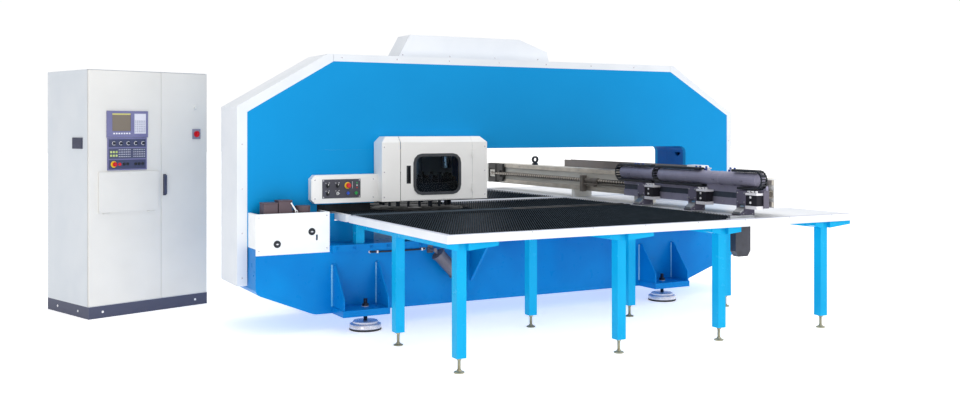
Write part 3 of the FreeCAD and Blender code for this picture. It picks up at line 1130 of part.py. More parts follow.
def cnc_panel():
    """Display unit above an operator panel, on the left door."""
    display = box(152, 520, -12, 0, 1484, 1706)
    screen = box(198, 364, -13, -8, 1538, 1686)
    keypad = box(396, 502, -13, -10, 1516, 1684)
    panel = box(158, 512, -8, 0, 1212, 1482)
    rows = [box(168, 502, -9, -6, z0, z1) for z0, z1 in ((1404, 1470), (1308, 1394), (1222, 1298))]
    unit = fused([display.cut(screen).cut(keypad), panel])
    for row in rows:
        unit = unit.cut(row)
    soft = [box(206 + 23 * i, 220 + 23 * i, -14, -12, 1512, 1524) for i in range(7)]
    knobs = [prism(6, 11, (u, -20, 1436), (u, -6, 1436)) for u in (215, 277, 343, 411, 478)]
    unit = fused([unit] + soft + knobs)
    unit = unit.cut(prism(6, STEM_R + 1, (214, -9, 1262), (214, 1, 1262)))
    return place_cabinet(unit)


def cabinet_stop():
    stem = prism(6, STEM_R, (214, -14, 1262), (214, -5, 1262))
    neck = prism(8, 11, (214, -24, 1262), (214, -14, 1262))
    cap = prism(16, 19, (214, -31, 1262), (214, -22, 1262))
    crown = prism(16, 14, (214, -36, 1262), (214, -31, 1262))
    return place_cabinet(fused([stem, neck, cap, crown]))


def keyboard_flap():
    left, right, low, high = FLAP
    flap = box(left, right, -14, -2 * SEAT, low, high)
    parts = [flap, prism(8, 11, (358, -18, 1177), (358, -14, 1177))]
    v, z = FLAP_HINGE_V, FLAP_HINGE_Z
    for u in FLAP_HINGE_U:
        start, end = u + 15 + SEAT, u + 45 - SEAT
        barrel = fused([prism(6, FLAP_HINGE_R, (start, v, z), (end, v, z)),
                        box(start, end, v - 1.5, v + 1.5, z, low + 1)])
        parts.append(barrel.cut(prism(8, snug(FLAP_PIN_R), (start - 1, v, z), (end + 1, v, z))))
    return place_cabinet(fused(parts))


def main_switch():
    disc = prism(16, 27, (991, -16, 1510), (991, -6 - SEAT, 1510))
    stem = prism(8, STEM_R, (991, -8, 1510), (991, -1, 1510))
    grip = box(985, 997, -34, -15, 1486, 1534)
    return place_cabinet(fused([disc, stem, grip]))


def cabinet_handle():
    lever = box(671, 693, -24, -4 - SEAT, 992, 1158)
    stem = prism(8, STEM_R, (682, -6, 1142), (682, -1, 1142))
    return place_cabinet(fused([lever, stem]))


# ---------------------------------------------------------------- writing
def save(name, shapes):
    """Write one sub-part; shapes is a solid or a list of separate solids."""
    solids = []
    for shape in shapes if isinstance(shapes, list) else [shapes]:
        solids += shape.Solids
    shape = solids[0] if len(solids) == 1 else Part.makeCompound(solids)
    shape = shape.copy()
    shape.translate(V(-ORIGIN_X, 0, 0))
    for solid in shape.Solids:
        if not solid.isValid():
            print("invalid solid in", name)
    shape.exportStep("parts/%s.step" % name)
    print("%-22s %2d solid(s) %9.4f m3" % (name, len(solids), sum(s.Volume for s in solids) / 1e9))


def main():
    os.makedirs("parts", exist_ok=True)
    plate = side_plate()
    left, top, right = perimeter_covers()
    nodes = {
        "side_plate_near": plate,
        "side_plate_far": far_side(plate),
        "frame_webs": frame_webs(),
        "base_beam": base_beam(),
        "vibration_mounts": vibration_mounts(),
        "base_cable": base_cable(),
        "air_cylinder": air_cylinder(),
        "end_cover_left": left,
        "top_cover": top,
        "end_cover_right": right,
        "ram_hood": ram_hood(),
        "front_cover": front_cover(),
        "cover_latch_left": cover_latch(*LATCHES[0]),
        "cover_latch_right": cover_latch(*LATCHES[1]),
        "air_unit": air_unit(),
        "shut_off_lever": shut_off_lever(),
        "upper_turret": upper_turret(),
        "lower_turret": lower_turret(),
        "turret_posts": turret_posts(),
        "drive_pinion": drive_pinion(),
        "ram_cylinder": ram_cylinder(),
        "striker": striker(),
        "enclosure_near": enclosure_near(),
        "enclosure_far": enclosure_far(),
        "enclosure_door": enclosure_door(),
        "door_window": door_window(),
        "window_gasket": window_gasket(),
        "door_handle": door_handle(),
        "control_box": control_box(),
        "control_panel": control_panel(),
        "table_tops": table_tops(),
        "brush_field": brush_field(),
        "table_stands": table_stands(),
        "levelling_feet": levelling_feet(),
        "gauge_housing": gauge_housing(),
        "gauge_stop": gauge_stop(),
        "crossbeam": crossbeam(),
        "guide_rails": guide_rails(),
        "ball_screw": ball_screw(),
        "carriage": carriage(),
        "energy_chains": energy_chains(),
        "clamp_bodies": [clamp_body(y) for y in CLAMP_Y],
        "cabinet_body": cabinet_body(),
        "cabinet_door_left": cabinet_door_left(),
        "cabinet_door_right": cabinet_door_right(),
        "cnc_panel": cnc_panel(),
        "cabinet_stop": cabinet_stop(),
        "keyboard_flap": keyboard_flap(),
        "main_switch": main_switch(),
        "cabinet_handle": cabinet_handle(),
    }
    for name in CONTROLS:
        nodes[name] = control_piece(name)
    for i, y in enumerate(CLAMP_Y):
        nodes["clamp_jaw_%d" % (i + 1)] = clamp_jaw(y)
    for name, shapes in nodes.items():
        save(name, shapes)
    print(len(nodes), "sub-parts, origin at station", round(ORIGIN_X, 3))


main()
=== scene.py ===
import bpy
import bmesh
import math
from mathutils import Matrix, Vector


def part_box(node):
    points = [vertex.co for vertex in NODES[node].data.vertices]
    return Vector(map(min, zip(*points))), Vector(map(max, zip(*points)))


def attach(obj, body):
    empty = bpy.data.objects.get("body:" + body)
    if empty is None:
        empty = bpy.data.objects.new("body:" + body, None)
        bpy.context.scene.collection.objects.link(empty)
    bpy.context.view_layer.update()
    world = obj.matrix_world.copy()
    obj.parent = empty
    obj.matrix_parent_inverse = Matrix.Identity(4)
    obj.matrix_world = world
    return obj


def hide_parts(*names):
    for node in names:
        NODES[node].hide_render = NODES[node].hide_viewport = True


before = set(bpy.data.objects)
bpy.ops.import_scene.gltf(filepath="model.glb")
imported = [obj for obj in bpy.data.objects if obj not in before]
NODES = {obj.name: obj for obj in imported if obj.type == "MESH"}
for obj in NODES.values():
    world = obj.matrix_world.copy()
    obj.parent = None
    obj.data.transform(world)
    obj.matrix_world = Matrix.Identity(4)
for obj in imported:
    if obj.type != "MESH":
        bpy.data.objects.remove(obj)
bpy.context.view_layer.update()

# -------- sizes, in millimetres
# Stations (x) run from the tables' left edge, y from the frame's mid-plane, z from the floor.
LEFT_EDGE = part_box("table_tops")[0].x * 1000
PASS_Z = 890.0  # height of the sheet's underside
BRUSH_SPAN = (46.0, 2642.0)
FIELDS = {"near": (-2189.0, -586.0), "centre": (-432.0, 432.0), "far": (586.0, 2189.0)}
BRUSH_FLOOR, STRIP_PITCH, TUFT_PITCH = 866.0, 19.0, 35.0
BACK_HALF, BACK_HIGH = 9.0, 5.0  # a strip's back
SEAM_STRIPS, SEAM_ROWS = 74, range(-572, -445, 18)  # short tufts; none where the crossbeam's feet travel
TURRET_X, COLLAR_R = 813.0, 404.0  # the round collar that the brushes leave free
GAUGE_AT, GAUGE_ROOM = (2508.0, -2131.0), (119.0, 22.0)
BEAM_FACE, FRAME_FACE, PLATE_BACK = -435.0, -235.0, -229.0
LEDGE_FACE, WAY_FACE = -455.0, -560.0
BOX_FACE, GUARD_FACE, PANEL_FACE, CONTROL_FACE, HOOD_FACE = -438.3, -400.0, -309.0, -305.0, -125.0
FOOT_PLATES, GUSSETS = (95.0, 3040.0), (-189.0, 180.0)
MOUNTS = [(x, y) for x in (141.0, 3036.0) for y in (-530.0, 530.0)]
TABLE_FEET = [(x, side * y) for side in (-1, 1) for x, y in
              ((122.0, 2155.0), (1372.0, 2155.0), (2276.0, 2155.0), (3312.0, 2155.0),
               (122.0, 1200.0), (1320.0, 1062.0), (2276.0, 1062.0), (3312.0, 1062.0))]
CABLE_Y, CABLE_Z = -461.0, 588.0
THROAT_LEFT, THROAT_TOP, THROAT_CORNER = -149.8, 1389.8, 59.8  # 0.2 mm inside the frame's opening
GUARD_LEFT, GUARD_RIGHT = 334.0, 1282.0
TUBE_X, TUBE_Z, TUBE_R = 2694.0, 1168.0, 53.5
CHAIN_X, CHAIN_MID_R, CHAIN_PITCH = 2669.7, 67.0, 23.0
# Each chain: where it turns, the ends of its upper and lower run, and which way it points.
CHAINS = ((-425.0, -870.0, -880.0, 1), (-966.0, -1500.0, -1534.0, 1), (-2142.0, -1881.0, -1946.0, -1))
CLAMPS = (-782.0, -1460.0, -2028.0)
SCREW_LEAD = 40.0
CABINET_AT, CABINET_TURN = (-1692.0, 912.0), math.radians(18.4)
UNIT_FACE, KEY_FACE = -6.0, -10.0  # operator unit's front and its key field's


def at(x, y, z):
    """A point in metres in the model's frame from station, depth and height in millimetres."""
    return Vector((x + LEFT_EDGE, y, z)) / 1000


def cabinet_at(u, v, z):
    """The same from the cabinet's own frame: u along its front, v into its depth."""
    along, across = math.cos(CABINET_TURN), math.sin(CABINET_TURN)
    return at(CABINET_AT[0] + u * along - v * across, CABINET_AT[1] + u * across + v * along, z)


def local(x, y, z):
    """A point in metres from millimetres in a shape's own frame."""
    return Vector((x, y, z)) / 1000


def rgb(code):
    """Linear colour of an sRGB hex value, with full alpha."""
    parts = [int(code[i:i + 2], 16) / 255 for i in (1, 3, 5)]
    return (*[p / 12.92 if p <= 0.04045 else ((p + 0.055) / 1.055) ** 2.4 for p in parts], 1.0)


def add(tree, kind, sockets=None, **settings):
    """Adds a node; sockets maps an input's name or number to a value or to another node's output."""
    made = tree.nodes.new(kind)
    for name, value in settings.items():
        setattr(made, name, value)
    for name, value in (sockets or {}).items():
        if isinstance(value, bpy.types.NodeSocket):
            tree.links.new(value, made.inputs[name])
        else:
            made.inputs[name].default_value = value
    return made


# -------- finishes
def painted_over(tree, where, colour, areas, place):
    """Other colours over a colour, each inside a box (x0, x1, y0, y1, z0, z1, hex value) in millimetres."""
    if not areas:
        return colour
    axes = add(tree, "ShaderNodeSeparateXYZ", {"Vector": where}).outputs
    for x0, x1, y0, y1, z0, z1, code in areas:
        inside = None
        for axis, a, b in zip("XYZ", place(x0, y0, z0), place(x1, y1, z1)):
            within = add(tree, "ShaderNodeMath", {0: axes[axis], 1: (a + b) / 2, 2: abs(b - a) / 2},
                         operation="COMPARE").outputs[0]
            if inside is not None:
                within = add(tree, "ShaderNodeMath", {0: inside, 1: within}, operation="MULTIPLY").outputs[0]
            inside = within
        colour = add(tree, "ShaderNodeMix", {0: inside, 6: colour, 7: rgb(code)}, data_type="RGBA").outputs[2]
    return colour


def finish(name, low, high, rough, tone, sheen, grain=None, relief=None, ramp=(0.35, 0.65),
           areas=(), cabinet_areas=(), **shader_values):
    """A material from three patterns: tone between two colours, sheen between two roughnesses, grain as relief.

    A pattern is (size in mm, detail) of soft noise, or a function that draws it; relief is (depth in mm, strength).
    """
    made = bpy.data.materials.new(name)
    made.use_nodes = True
    tree = made.node_tree
    shader = tree.nodes["Principled BSDF"]
    for socket, value in shader_values.items():
        shader.inputs[socket.replace("_", " ")].default_value = value
    where = add(tree, "ShaderNodeTexCoord").outputs["Object"]
    drawn = {}
    for pattern in (tone, sheen, grain):
        if pattern is None or pattern in drawn:
            continue
        if callable(pattern):
            drawn[pattern] = pattern(tree, where)
        else:
            noise = add(tree, "ShaderNodeTexNoise",
                        {"Vector": where, "Scale": 1000.0 / pattern[0], "Detail": pattern[1]})
            drawn[pattern] = noise.outputs["Fac"]
    tones = add(tree, "ShaderNodeValToRGB", {"Fac": drawn[tone]})
    for stop, place, code in zip(tones.color_ramp.elements, ramp, (low, high)):
        stop.position = place
        stop.color = rgb(code)
    colour = painted_over(tree, where, tones.outputs["Color"], areas, at)
    if cabinet_areas:
        own = add(tree, "ShaderNodeMapping", {"Vector": where, "Location": cabinet_at(0, 0, 0),
                                              "Rotation": (0, 0, CABINET_TURN)}, vector_type="TEXTURE")
        colour = painted_over(tree, own.outputs["Vector"], colour, cabinet_areas, local)
    tree.links.new(colour, shader.inputs["Base Color"])
    span = add(tree, "ShaderNodeMapRange", {"Value": drawn[sheen], "To Min": rough[0], "To Max": rough[1]})
    tree.links.new(span.outputs["Result"], shader.inputs["Roughness"])
    if grain:
        bump = add(tree, "ShaderNodeBump",
                   {"Height": drawn[grain], "Distance": relief[0] / 1000, "Strength": relief[1]})
        tree.links.new(bump.outputs["Normal"], shader.inputs["Normal"])
    return made


def sprayed_enamel(name, low, high, rough=(0.30, 0.40), areas=()):
    """Sprayed two-pack enamel on welded plate: even colour, soft gloss, faint orange peel."""
    return finish(name, low, high, rough, tone=(420, 2), sheen=(60, 2), grain=(4, 3), relief=(0.05, 0.3),
                  areas=areas, IOR=1.5, Specular_IOR_Level=0.1)


def powder_coat(name, low, high, rough=(0.42, 0.52), grain_mm=1.8, areas=(), cabinet_areas=()):
    """Powder coat on folded sheet: fine even grain, satin. The grain is coarser than real, so that it shows."""
    return finish(name, low, high, rough, tone=(300, 2), sheen=(25, 2), grain=(grain_mm, 4), relief=(0.06, 0.35),
                  areas=areas, cabinet_areas=cabinet_areas, IOR=1.48, Specular_IOR_Level=0.4)


def ground_steel(name, low, high, rough=(0.28, 0.42), along="y", metal=0.85, areas=()):
    """Ground or drawn steel: lines in one direction that stretch the highlight, 1.2 mm wide so that they show."""
    squeeze = {"x": (0.02, 1, 1), "y": (1, 0.02, 1), "z": (1, 1, 0.02)}[along]

    def lines(tree, where):
        run = add(tree, "ShaderNodeMapping", {"Vector": where, "Scale": squeeze}).outputs["Vector"]
        return add(tree, "ShaderNodeTexNoise", {"Vector": run, "Scale": 1000.0 / 1.2, "Detail": 3.0}).outputs["Fac"]

    return finish(name, low, high, rough, tone=(140, 2), sheen=lines, grain=lines, relief=(0.02, 0.4),
                  areas=areas, Metallic=metal)


def moulded(name, low, high, rough=(0.38, 0.48), ior=1.49, areas=()):
    """Moulded plastic or rubber with a spark-eroded grain, 0.9 mm so that it shows."""
    return finish(name, low, high, rough, tone=(80, 2), sheen=(12, 2), grain=(0.9, 2), relief=(0.04, 0.3),
                  areas=areas, IOR=ior)


def thread_groove(tree, where):
    """A rounded groove once each lead of the ball screw; a wave of scale 1 repeats each 0.1 pi metres."""
    return add(tree, "ShaderNodeTexWave", {"Vector": where, "Scale": 1000.0 / SCREW_LEAD * 0.1 * math.pi},
               wave_type="BANDS", bands_direction="Y", wave_profile="SIN").outputs["Fac"]


def bristle_tip_highlight(tree, where):
    """Nothing at the bristles' roots, full at their cut tips: a painted highlight on the tips, in patches of painted
    sheen that vary it.
    """
    height = add(tree, "ShaderNodeSeparateXYZ", {"Vector": where}).outputs["Z"]
    tip = add(tree, "ShaderNodeMapRange",
              {"Value": height, "From Min": (PASS_Z - 8.5) / 1000, "From Max": (PASS_Z - 1.0) / 1000})
    patches = add(tree, "ShaderNodeTexNoise", {"Vector": where, "Scale": 1000.0 / 90.0, "Detail": 2.0})
    share = add(tree, "ShaderNodeMapRange", {"Value": patches.outputs["Fac"], "To Min": 0.5})
    return add(tree, "ShaderNodeMath", {0: tip.outputs["Result"], 1: share.outputs["Result"]},
               operation="MULTIPLY").outputs["Value"]


# Enamels on welded plate and castings.
# Frame plates: one even clear blue with hardly any gloss.
frame_enamel = sprayed_enamel("frame_blue_enamel", "#0590D2", "#0692D4")
# Webs and throat lining: a deeper blue, as they lie in the plates' shade; one dark seam line.
web_enamel = sprayed_enamel("web_blue_enamel", "#0A62B0", "#0B68B8",
                            areas=((3551, 3554, 44.5, 47.5, 650, 1392, "#0A4C98"),))
# Base beam: a full blue with more sheen than the plates.
beam_enamel = sprayed_enamel("beam_blue_enamel", "#047CCA", "#058AD6", rough=(0.24, 0.34))
# Stands: light cyan blue, glossy enough for a pale edge on each leg.
stand_enamel = sprayed_enamel("stand_blue_enamel", "#0AA4DC", "#12AEE4", rough=(0.22, 0.3))
# Weld beads: the same paint, made a lighter blue, nearly white, as a painted highlight where the ripples catch the
# light.
weld_highlight_enamel = sprayed_enamel("weld_bead_painted_highlight", "#4FB4E8", "#A8DCF4", rough=(0.15, 0.25))
# Carriage: violet grey; its channel, nut bracket, tie and end plate each a darker grey.
carriage_enamel = sprayed_enamel("carriage_grey_enamel", "#8F8DA2", "#9A98AE", rough=(0.24, 0.32), areas=(
    (2698, 2709.5, -2202, -408, 1016, 1060, "#4C5462"),
    (2700, 2765, 50, 310, 950, 1112, "#77716B"),
    (2711, 2731, -416, 292, 1021, 1037, "#77716B"),
    (2668, 2723, -2209, -2199.5, 957, 1090, "#6A6674")))
# Clamps: dark violet grey; air blocks nearly black between pale plates, on a foot of pale steel.
clamp_enamel = sprayed_enamel("clamp_dark_enamel", "#636072", "#6E6B7E", rough=(0.3, 0.4), areas=[
    area for y in CLAMPS for area in (
        (2611, 2681, y - 165, y - 48.5, 974, 1057, "#2B2A31"),
        (2605, 2687, y - 169, y - 48.5, 950, 975.2, "#ECEAF0"),
        (2605, 2687, y - 169, y - 48.5, 1055.8, 1073, "#ECEAF0"),
        (2559, 2701, y - 49, y + 49, 892, 899.2, "#C6C8CE"))])
# Valve blocks in the cover box: dull red brown, their tops a shade darker.
unit_castings = sprayed_enamel("valve_block_brown_enamel", "#5E5158", "#6C5E64", rough=(0.4, 0.5), areas=(
    (-630, -513, -395, -275, 988, 990, "#3A3136"), (-510, -400, -395, -275, 1003, 1005, "#3A3136")))

# Powder coats on folded sheet.
# Cover box and lever: bright neutral white, satin.
white_sheet = powder_coat("white_powder_coat", "#EEF0F2", "#F5F7F8", rough=(0.36, 0.44))
# Frame covers and hood: a cool grey white that keeps soft shading in its folds.
cover_sheet = powder_coat("cover_grey_white_coat", "#E0E5EC", "#E6EAF0", rough=(0.4, 0.5))
# Turret guard and control box: a slightly warm white.
guard_sheet = powder_coat("guard_warm_white_coat", "#ECECEB", "#F1F1F0", rough=(0.36, 0.44))
# Table tops: white; black over the strips between the brush fields, where short tufts stand on the near one, and on
# the turret's collar: painted shade in the strips' recesses and on the collar under the guard; grey rims, fine joints
# in the skirt.
table_sheet = powder_coat("table_white_coat", "#E8EBF1", "#EFF1F5", rough=(0.4, 0.5), areas=[
    (40, 2644, -592, -426, 860, 892, "#0C1218"), (405, 1221, -408, 408, 830, 892, "#0C1218"),
    (40, 1291, 426, 592, 860, 892, "#0C1218"), (-1, 3572, -2236, -2188, 889.5, 891, "#D2D5E2"),
    (-1, 44, -2236, -430, 889.5, 891, "#D2D5E2")] + [
    (x - 1.6, x + 1.6, -2240, -2195, 880, 892, "#6E747C") for x in (-40, 620, 1102, 1544, 2015, 2460, 2905, 3350)])
# Crossbeam: cream; white end caps and cable box, brown grey tray, black eye, dark far bearing with a pale cap.
crossbeam_coat = powder_coat("crossbeam_cream_coat", "#DEDBD2", "#E6E3DA", areas=(
    (2765, 2955, -2212, -2120, 950, 1175, "#F6F7F8"),
    (2888, 2972, -1058, 869, 1171.5, 1244, "#857D79"),
    (2805, 2895, 1335, 1415, 1171.5, 1272, "#20242C"),
    (2720, 2769.9, 1864, 2176, 960, 1174, "#3A3836"),
    (2726, 2769.9, 2030, 2134, 1024, 1101, "#DDDAD2"),
    (2720, 2769.9, -2204, -2160, 1030, 1094, "#7B766E"),
    (2720, 2952, 2174, 2228, 956, 1170, "#EDEDE8"),
    (2888, 2972, -1286, -1054, 1171.5, 1250, "#F2F3F4")))
# Cabinet's left door and flap: a light warm grey with a leathery texture.
cabinet_coat = powder_coat("cabinet_textured_coat", "#DDDCD9", "#E1E0DD", rough=(0.5, 0.6), grain_mm=2.4)
# Carcass: the doors' paint made cooler and a little darker, painted shade for its side turned from the light; on a
# slate plinth, with a slate frame round the side vent.
carcass_shade_coat = powder_coat("carcass_shade_tinted_coat", "#CDD3DA", "#D2D7DD", rough=(0.5, 0.6), grain_mm=2.4,
                           cabinet_areas=((-10, 1110, -10, 760, -5, 99.9, "#474B62"),
                                          (-8, -0.5, 102, 285, 1390, 1486, "#3E4156")))
# Right door: as the left one, with the main switch's grey plate and the handle's dark tray.
door_coat = powder_coat("door_textured_coat", "#DDDCD9", "#E1E0DD", rough=(0.5, 0.6), grain_mm=2.4,
                        cabinet_areas=((950, 1032, -7, -0.5, 1465, 1556, "#8A8CA0"),
                                       (667, 697, -5, -0.5, 983, 1167, "#3E4258")))
# Operator unit: blue violet sheet; a dull screen under a yellow line, pale key field, dark rows.
unit_coat = powder_coat("operator_unit_coat", "#70709A", "#7A7AA2", rough=(0.4, 0.5), cabinet_areas=(
    (198, 364, -9, -7, 1538, 1674, "#7E7468"), (198, 364, -9, -7, 1674, 1687, "#D6D080"),
    (396, 502, -11, -9, 1516, 1684, "#DEDEEA"), (168, 502, -7, -5, 1404, 1470, "#464A68"),
    (168, 502, -7, -5, 1308, 1394, "#50546E"), (168, 502, -7, -5, 1222, 1298, "#464A68"),
    (200, 370, -15, -12.2, 1510, 1526, "#E8E8F0"), (204, 490, -21, -8.5, 1424, 1448, "#20222F")))
# Control panel: charcoal; three lamps beside a pale bar, and a pale mark on each side of the four knobs.
panel_coat = powder_coat("dark_panel_coat", "#45454F", "#4E4E5A", rough=(0.38, 0.46), areas=[
    (117, 122, -312, -309.2, 1084, 1141, "#D0D0D4")] + [
    (150, 166, -315, -309.2, z, z + 16, lamp) for z, lamp in ((1120, "#30A060"), (1101, "#C8C8CC"), (1082, "#B83038"))
    ] + [(x + left, x + right, -310, -308.5, z + lift, z + lift + 4, "#E8E8EC")
         for x in (-104, -22) for z in (1128, 1066) for left, right, lift in ((0, 6, 0), (26, 34, 2))])

# Steels.
# Guide rails: warm pale ground steel, bright along its length.
rail_steel = ground_steel("ground_rail_steel", "#A8A299", "#BDB7AD", metal=0.7)
# Ball screw: dark grooves between bright lands. Its threads are as coarse as the screw's lead.
screw_steel = finish("rolled_screw_steel", "#5A544E", "#A09A92", (0.2, 0.34), tone=thread_groove, sheen=(8, 2),
                     grain=thread_groove, relief=(3.0, 0.8), ramp=(0.2, 0.8), Metallic=0.9)
# Screws, jaws and ram: neutral light steel.
light_steel = ground_steel("light_ground_steel", "#A7A9AC", "#BFC2C5", along="z")
# Air cylinder: grey drawn tube, half dull.
cylinder_steel = ground_steel("drawn_cylinder_tube", "#66626B", "#77727C", along="x", metal=0.4)
# Turrets: oiled tool steel, nearly black blue.
turret_steel = ground_steel("oiled_tool_steel", "#1C222C", "#2A313C", rough=(0.45, 0.6), along="z", metal=0.6)
# Spindles: plain grey steel; the turret's motor is painted blue.
post_steel = ground_steel("spindle_steel", "#8A8C94", "#A6A8AE", along="z", metal=0.8,
                          areas=((340, 560, -80, 80, 1174, 1391, "#1F4C9A"),))
# Striker and key: freshly turned, the brightest metal here.
bright_steel = ground_steel("turned_bright_steel", "#B9BBBE", "#D2D4D6", rough=(0.15, 0.25), along="x")
# Mount studs and nuts: blackened, with a soft shine.
dark_steel = ground_steel("blackened_steel", "#2A2C36", "#3A3C48", rough=(0.3, 0.42), along="x", metal=0.7)
# Mount shells and clips: zinc plate, pale and slightly violet.
zinc_steel = ground_steel("zinc_plated_steel", "#D8D5DE", "#ECEAF0", rough=(0.22, 0.32), along="x", metal=0.55)
# Levelling feet: yellow zinc, a dull olive gold.
yellow_zinc = ground_steel("yellow_zinc_stem", "#97917A", "#B0AA90", rough=(0.25, 0.4), along="x", metal=0.8)

# Plastics, rubber and the pane.
# Latches, chains and cables: black nylon, softly shining.
black_moulding = moulded("black_moulded_nylon", "#12161F", "#1B212C")
# Selectors: black with a white pointer on each knob's face.
selector_moulding = moulded("selector_black_moulding", "#15181F", "#1D2129", areas=[
    (x - 2.2, x + 2.2, -332, -314, z + 4, z + 16, "#F2F2F2") for x in (-87, -5) for z in (1109, 1048)])
# Gauge housing: dark grey with a little more shine.
housing_moulding = moulded("gauge_black_housing", "#2C2E38", "#383A46", rough=(0.34, 0.42))
# Mount soles, strip backs and the throat's curtain, a dark sheet of painted shade: dead matt black rubber.
rubber_black = moulded("black_rubber", "#17181C", "#22242A", rough=(0.6, 0.75), ior=1.52)
# Window profile: dark grey rubber, lighter than the pane's dark.
gasket_rubber = moulded("grey_gasket_rubber", "#2E3238", "#3A3E45", rough=(0.5, 0.6), ior=1.52)
# Stop buttons and switch: glossy signal red.
red_moulding = moulded("red_moulded_abs", "#C01824", "#D2222E", rough=(0.2, 0.3))
# Rings under the stop buttons: warm yellow.
yellow_moulding = moulded("yellow_moulded_abs", "#E8B800", "#F4C81C", rough=(0.3, 0.4))
# Hold button: clear blue.
blue_moulding = moulded("blue_moulded_abs", "#1F49B8", "#2A55C8", rough=(0.25, 0.35))
# Air valves: a deeper blue.
valve_moulding = moulded("valve_blue_moulding", "#1C3F92", "#2450A8", rough=(0.25, 0.35))
# Start button: full green.
green_moulding = moulded("green_moulded_abs", "#1F9648", "#2AA654", rough=(0.25, 0.35))
# Plugs and fittings: clean white.
white_moulding = moulded("white_moulded_abs", "#E6E6EA", "#F2F2F5", rough=(0.3, 0.4))
# Keys: light violet grey caps that stand out from the dark rows.
key_moulding = moulded("key_grey_moulding", "#A6A9BC", "#C0C3D2", rough=(0.35, 0.45))
# Vent slats and cabinet handle: slate.
vent_moulding = moulded("slate_moulding", "#3A3E56", "#454A62", rough=(0.45, 0.55))
# Six larger keys: pale green.
lit_moulding = moulded("pale_green_moulding", "#B4C676", "#C6D48C", rough=(0.35, 0.45))
# Bristles: black nylon whose cut tips carry a painted highlight as pale points. The tufts are coarser than real ones.
bristles = finish("bristle_nylon", "#03070B", "#56636F", (0.8, 0.95), tone=bristle_tip_highlight, sheen=(3, 2),
                  grain=(1.5, 3), relief=(0.3, 0.5), ramp=(0.1, 1.0), IOR=1.53, Specular_IOR_Level=0.05)
# Guard window: clear, faintly tinted polycarbonate that shows the turrets; its low IOR stands for a thin sheet.
pane = finish("polycarbonate_pane", "#8FA4B4", "#98ACBA", (0.01, 0.03), tone=(200, 2), sheen=(40, 2),
              IOR=1.12, Transmission_Weight=1.0)

COATS = {
    frame_enamel: ("side_plate_near", "side_plate_far"),
    web_enamel: ("frame_webs",),
    beam_enamel: ("base_beam",),
    stand_enamel: ("table_stands",),
    white_sheet: ("front_cover", "shut_off_lever"),
    cover_sheet: ("end_cover_left", "top_cover", "end_cover_right", "ram_hood"),
    guard_sheet: ("enclosure_near", "enclosure_far", "enclosure_door", "control_box"),
    table_sheet: ("table_tops",),
    crossbeam_coat: ("crossbeam",),
    carcass_shade_coat: ("cabinet_body",),
    cabinet_coat: ("cabinet_door_left", "keyboard_flap"),
    door_coat: ("cabinet_door_right",),
    unit_coat: ("cnc_panel",),
    panel_coat: ("control_panel",),
    carriage_enamel: ("carriage",),
    clamp_enamel: ("clamp_bodies",),
    rail_steel: ("guide_rails",),
    screw_steel: ("ball_screw",),
    unit_castings: ("air_unit",),
    cylinder_steel: ("air_cylinder",),
    light_steel: ("gauge_stop", "clamp_jaw_1", "clamp_jaw_2", "clamp_jaw_3", "ram_cylinder"),
    turret_steel: ("upper_turret", "lower_turret", "drive_pinion"),
    post_steel: ("turret_posts",),
    bright_steel: ("striker", "levelling_feet", "key_switch"),
    zinc_steel: ("vibration_mounts",),
    black_moulding: ("base_cable", "energy_chains", "cover_latch_left", "cover_latch_right", "door_handle"),
    vent_moulding: ("cabinet_handle",),
    selector_moulding: ("selector_upper", "selector_lower", "selector_right"),
    housing_moulding: ("gauge_housing",),
    gasket_rubber: ("window_gasket",),
    red_moulding: ("emergency_stop", "cabinet_stop", "main_switch"),
    blue_moulding: ("hold_button",),
    green_moulding: ("start_button",),
    bristles: ("brush_field",),
    pane: ("door_window",),
}
for coat, names in COATS.items():
    for name in names:
        slots = NODES[name].data.materials
        slots.clear()
        slots.append(coat)


# -------- shapes
def lathe(form, profile, foot, axis=(0, 0, 1), sides=24):
    """Adds a turned shape to a mesh in the making; profile is (radius, height) pairs in millimetres.

    A profile that ends where it starts makes a ring.
    """
    turn = Vector((0, 0, 1)).rotation_difference(Vector(axis)).to_matrix()
    closed = profile[0] == profile[-1]
    rings = []
    for radius, height in profile[:-1] if closed else profile:
        if radius == 0:
            rings.append([form.verts.new(foot + turn @ Vector((0, 0, height)) / 1000)])
            continue
        ring = []
        for i in range(sides):
            angle = 2 * math.pi * i / sides
            point = Vector((radius * math.cos(angle), radius * math.sin(angle), height)) / 1000
            ring.append(form.verts.new(foot + turn @ point))
        rings.append(ring)
    if closed:
        rings.append(rings[0])
    for low, high in zip(rings, rings[1:]):
        for i in range(sides):
            k = (i + 1) % sides
            corners = [low[i % len(low)], low[k % len(low)], high[k % len(high)], high[i % len(high)]]
            corners = [c for n, c in enumerate(corners) if c not in corners[:n]]
            if len(corners) > 2:
                form.faces.new(corners)


def block(form, low, high, place, edge_mm, taper=0.0):
    """Adds a box with broken edges; its corners are millimetres in place's own frame, and taper narrows its top."""
    (x0, y0, z0), (x1, y1, z1) = low, high
    middle = ((x0 + x1) / 2, (y0 + y1) / 2)
    corners = []
    for z, share in ((z0, 1.0), (z1, 1.0 - taper)):
        for x, y in ((x0, y0), (x1, y0), (x1, y1), (x0, y1)):
            corners.append(form.verts.new(place(middle[0] + (x - middle[0]) * share,
                                                middle[1] + (y - middle[1]) * share, z)))
    sides = [(3, 2, 1, 0), (4, 5, 6, 7), (0, 1, 5, 4), (1, 2, 6, 5), (2, 3, 7, 6), (3, 0, 4, 7)]
    faces = [form.faces.new([corners[i] for i in side]) for side in sides]
    edges = list({edge for face in faces for edge in face.edges})
    bmesh.ops.bevel(form, geom=edges, offset=edge_mm / 1000, segments=1, affect="EDGES")


def turned(profile, sides):
    """A mesh in the making with one turned shape at the origin."""
    form = bmesh.new()
    lathe(form, profile, Vector((0, 0, 0)), sides=sides)
    return form


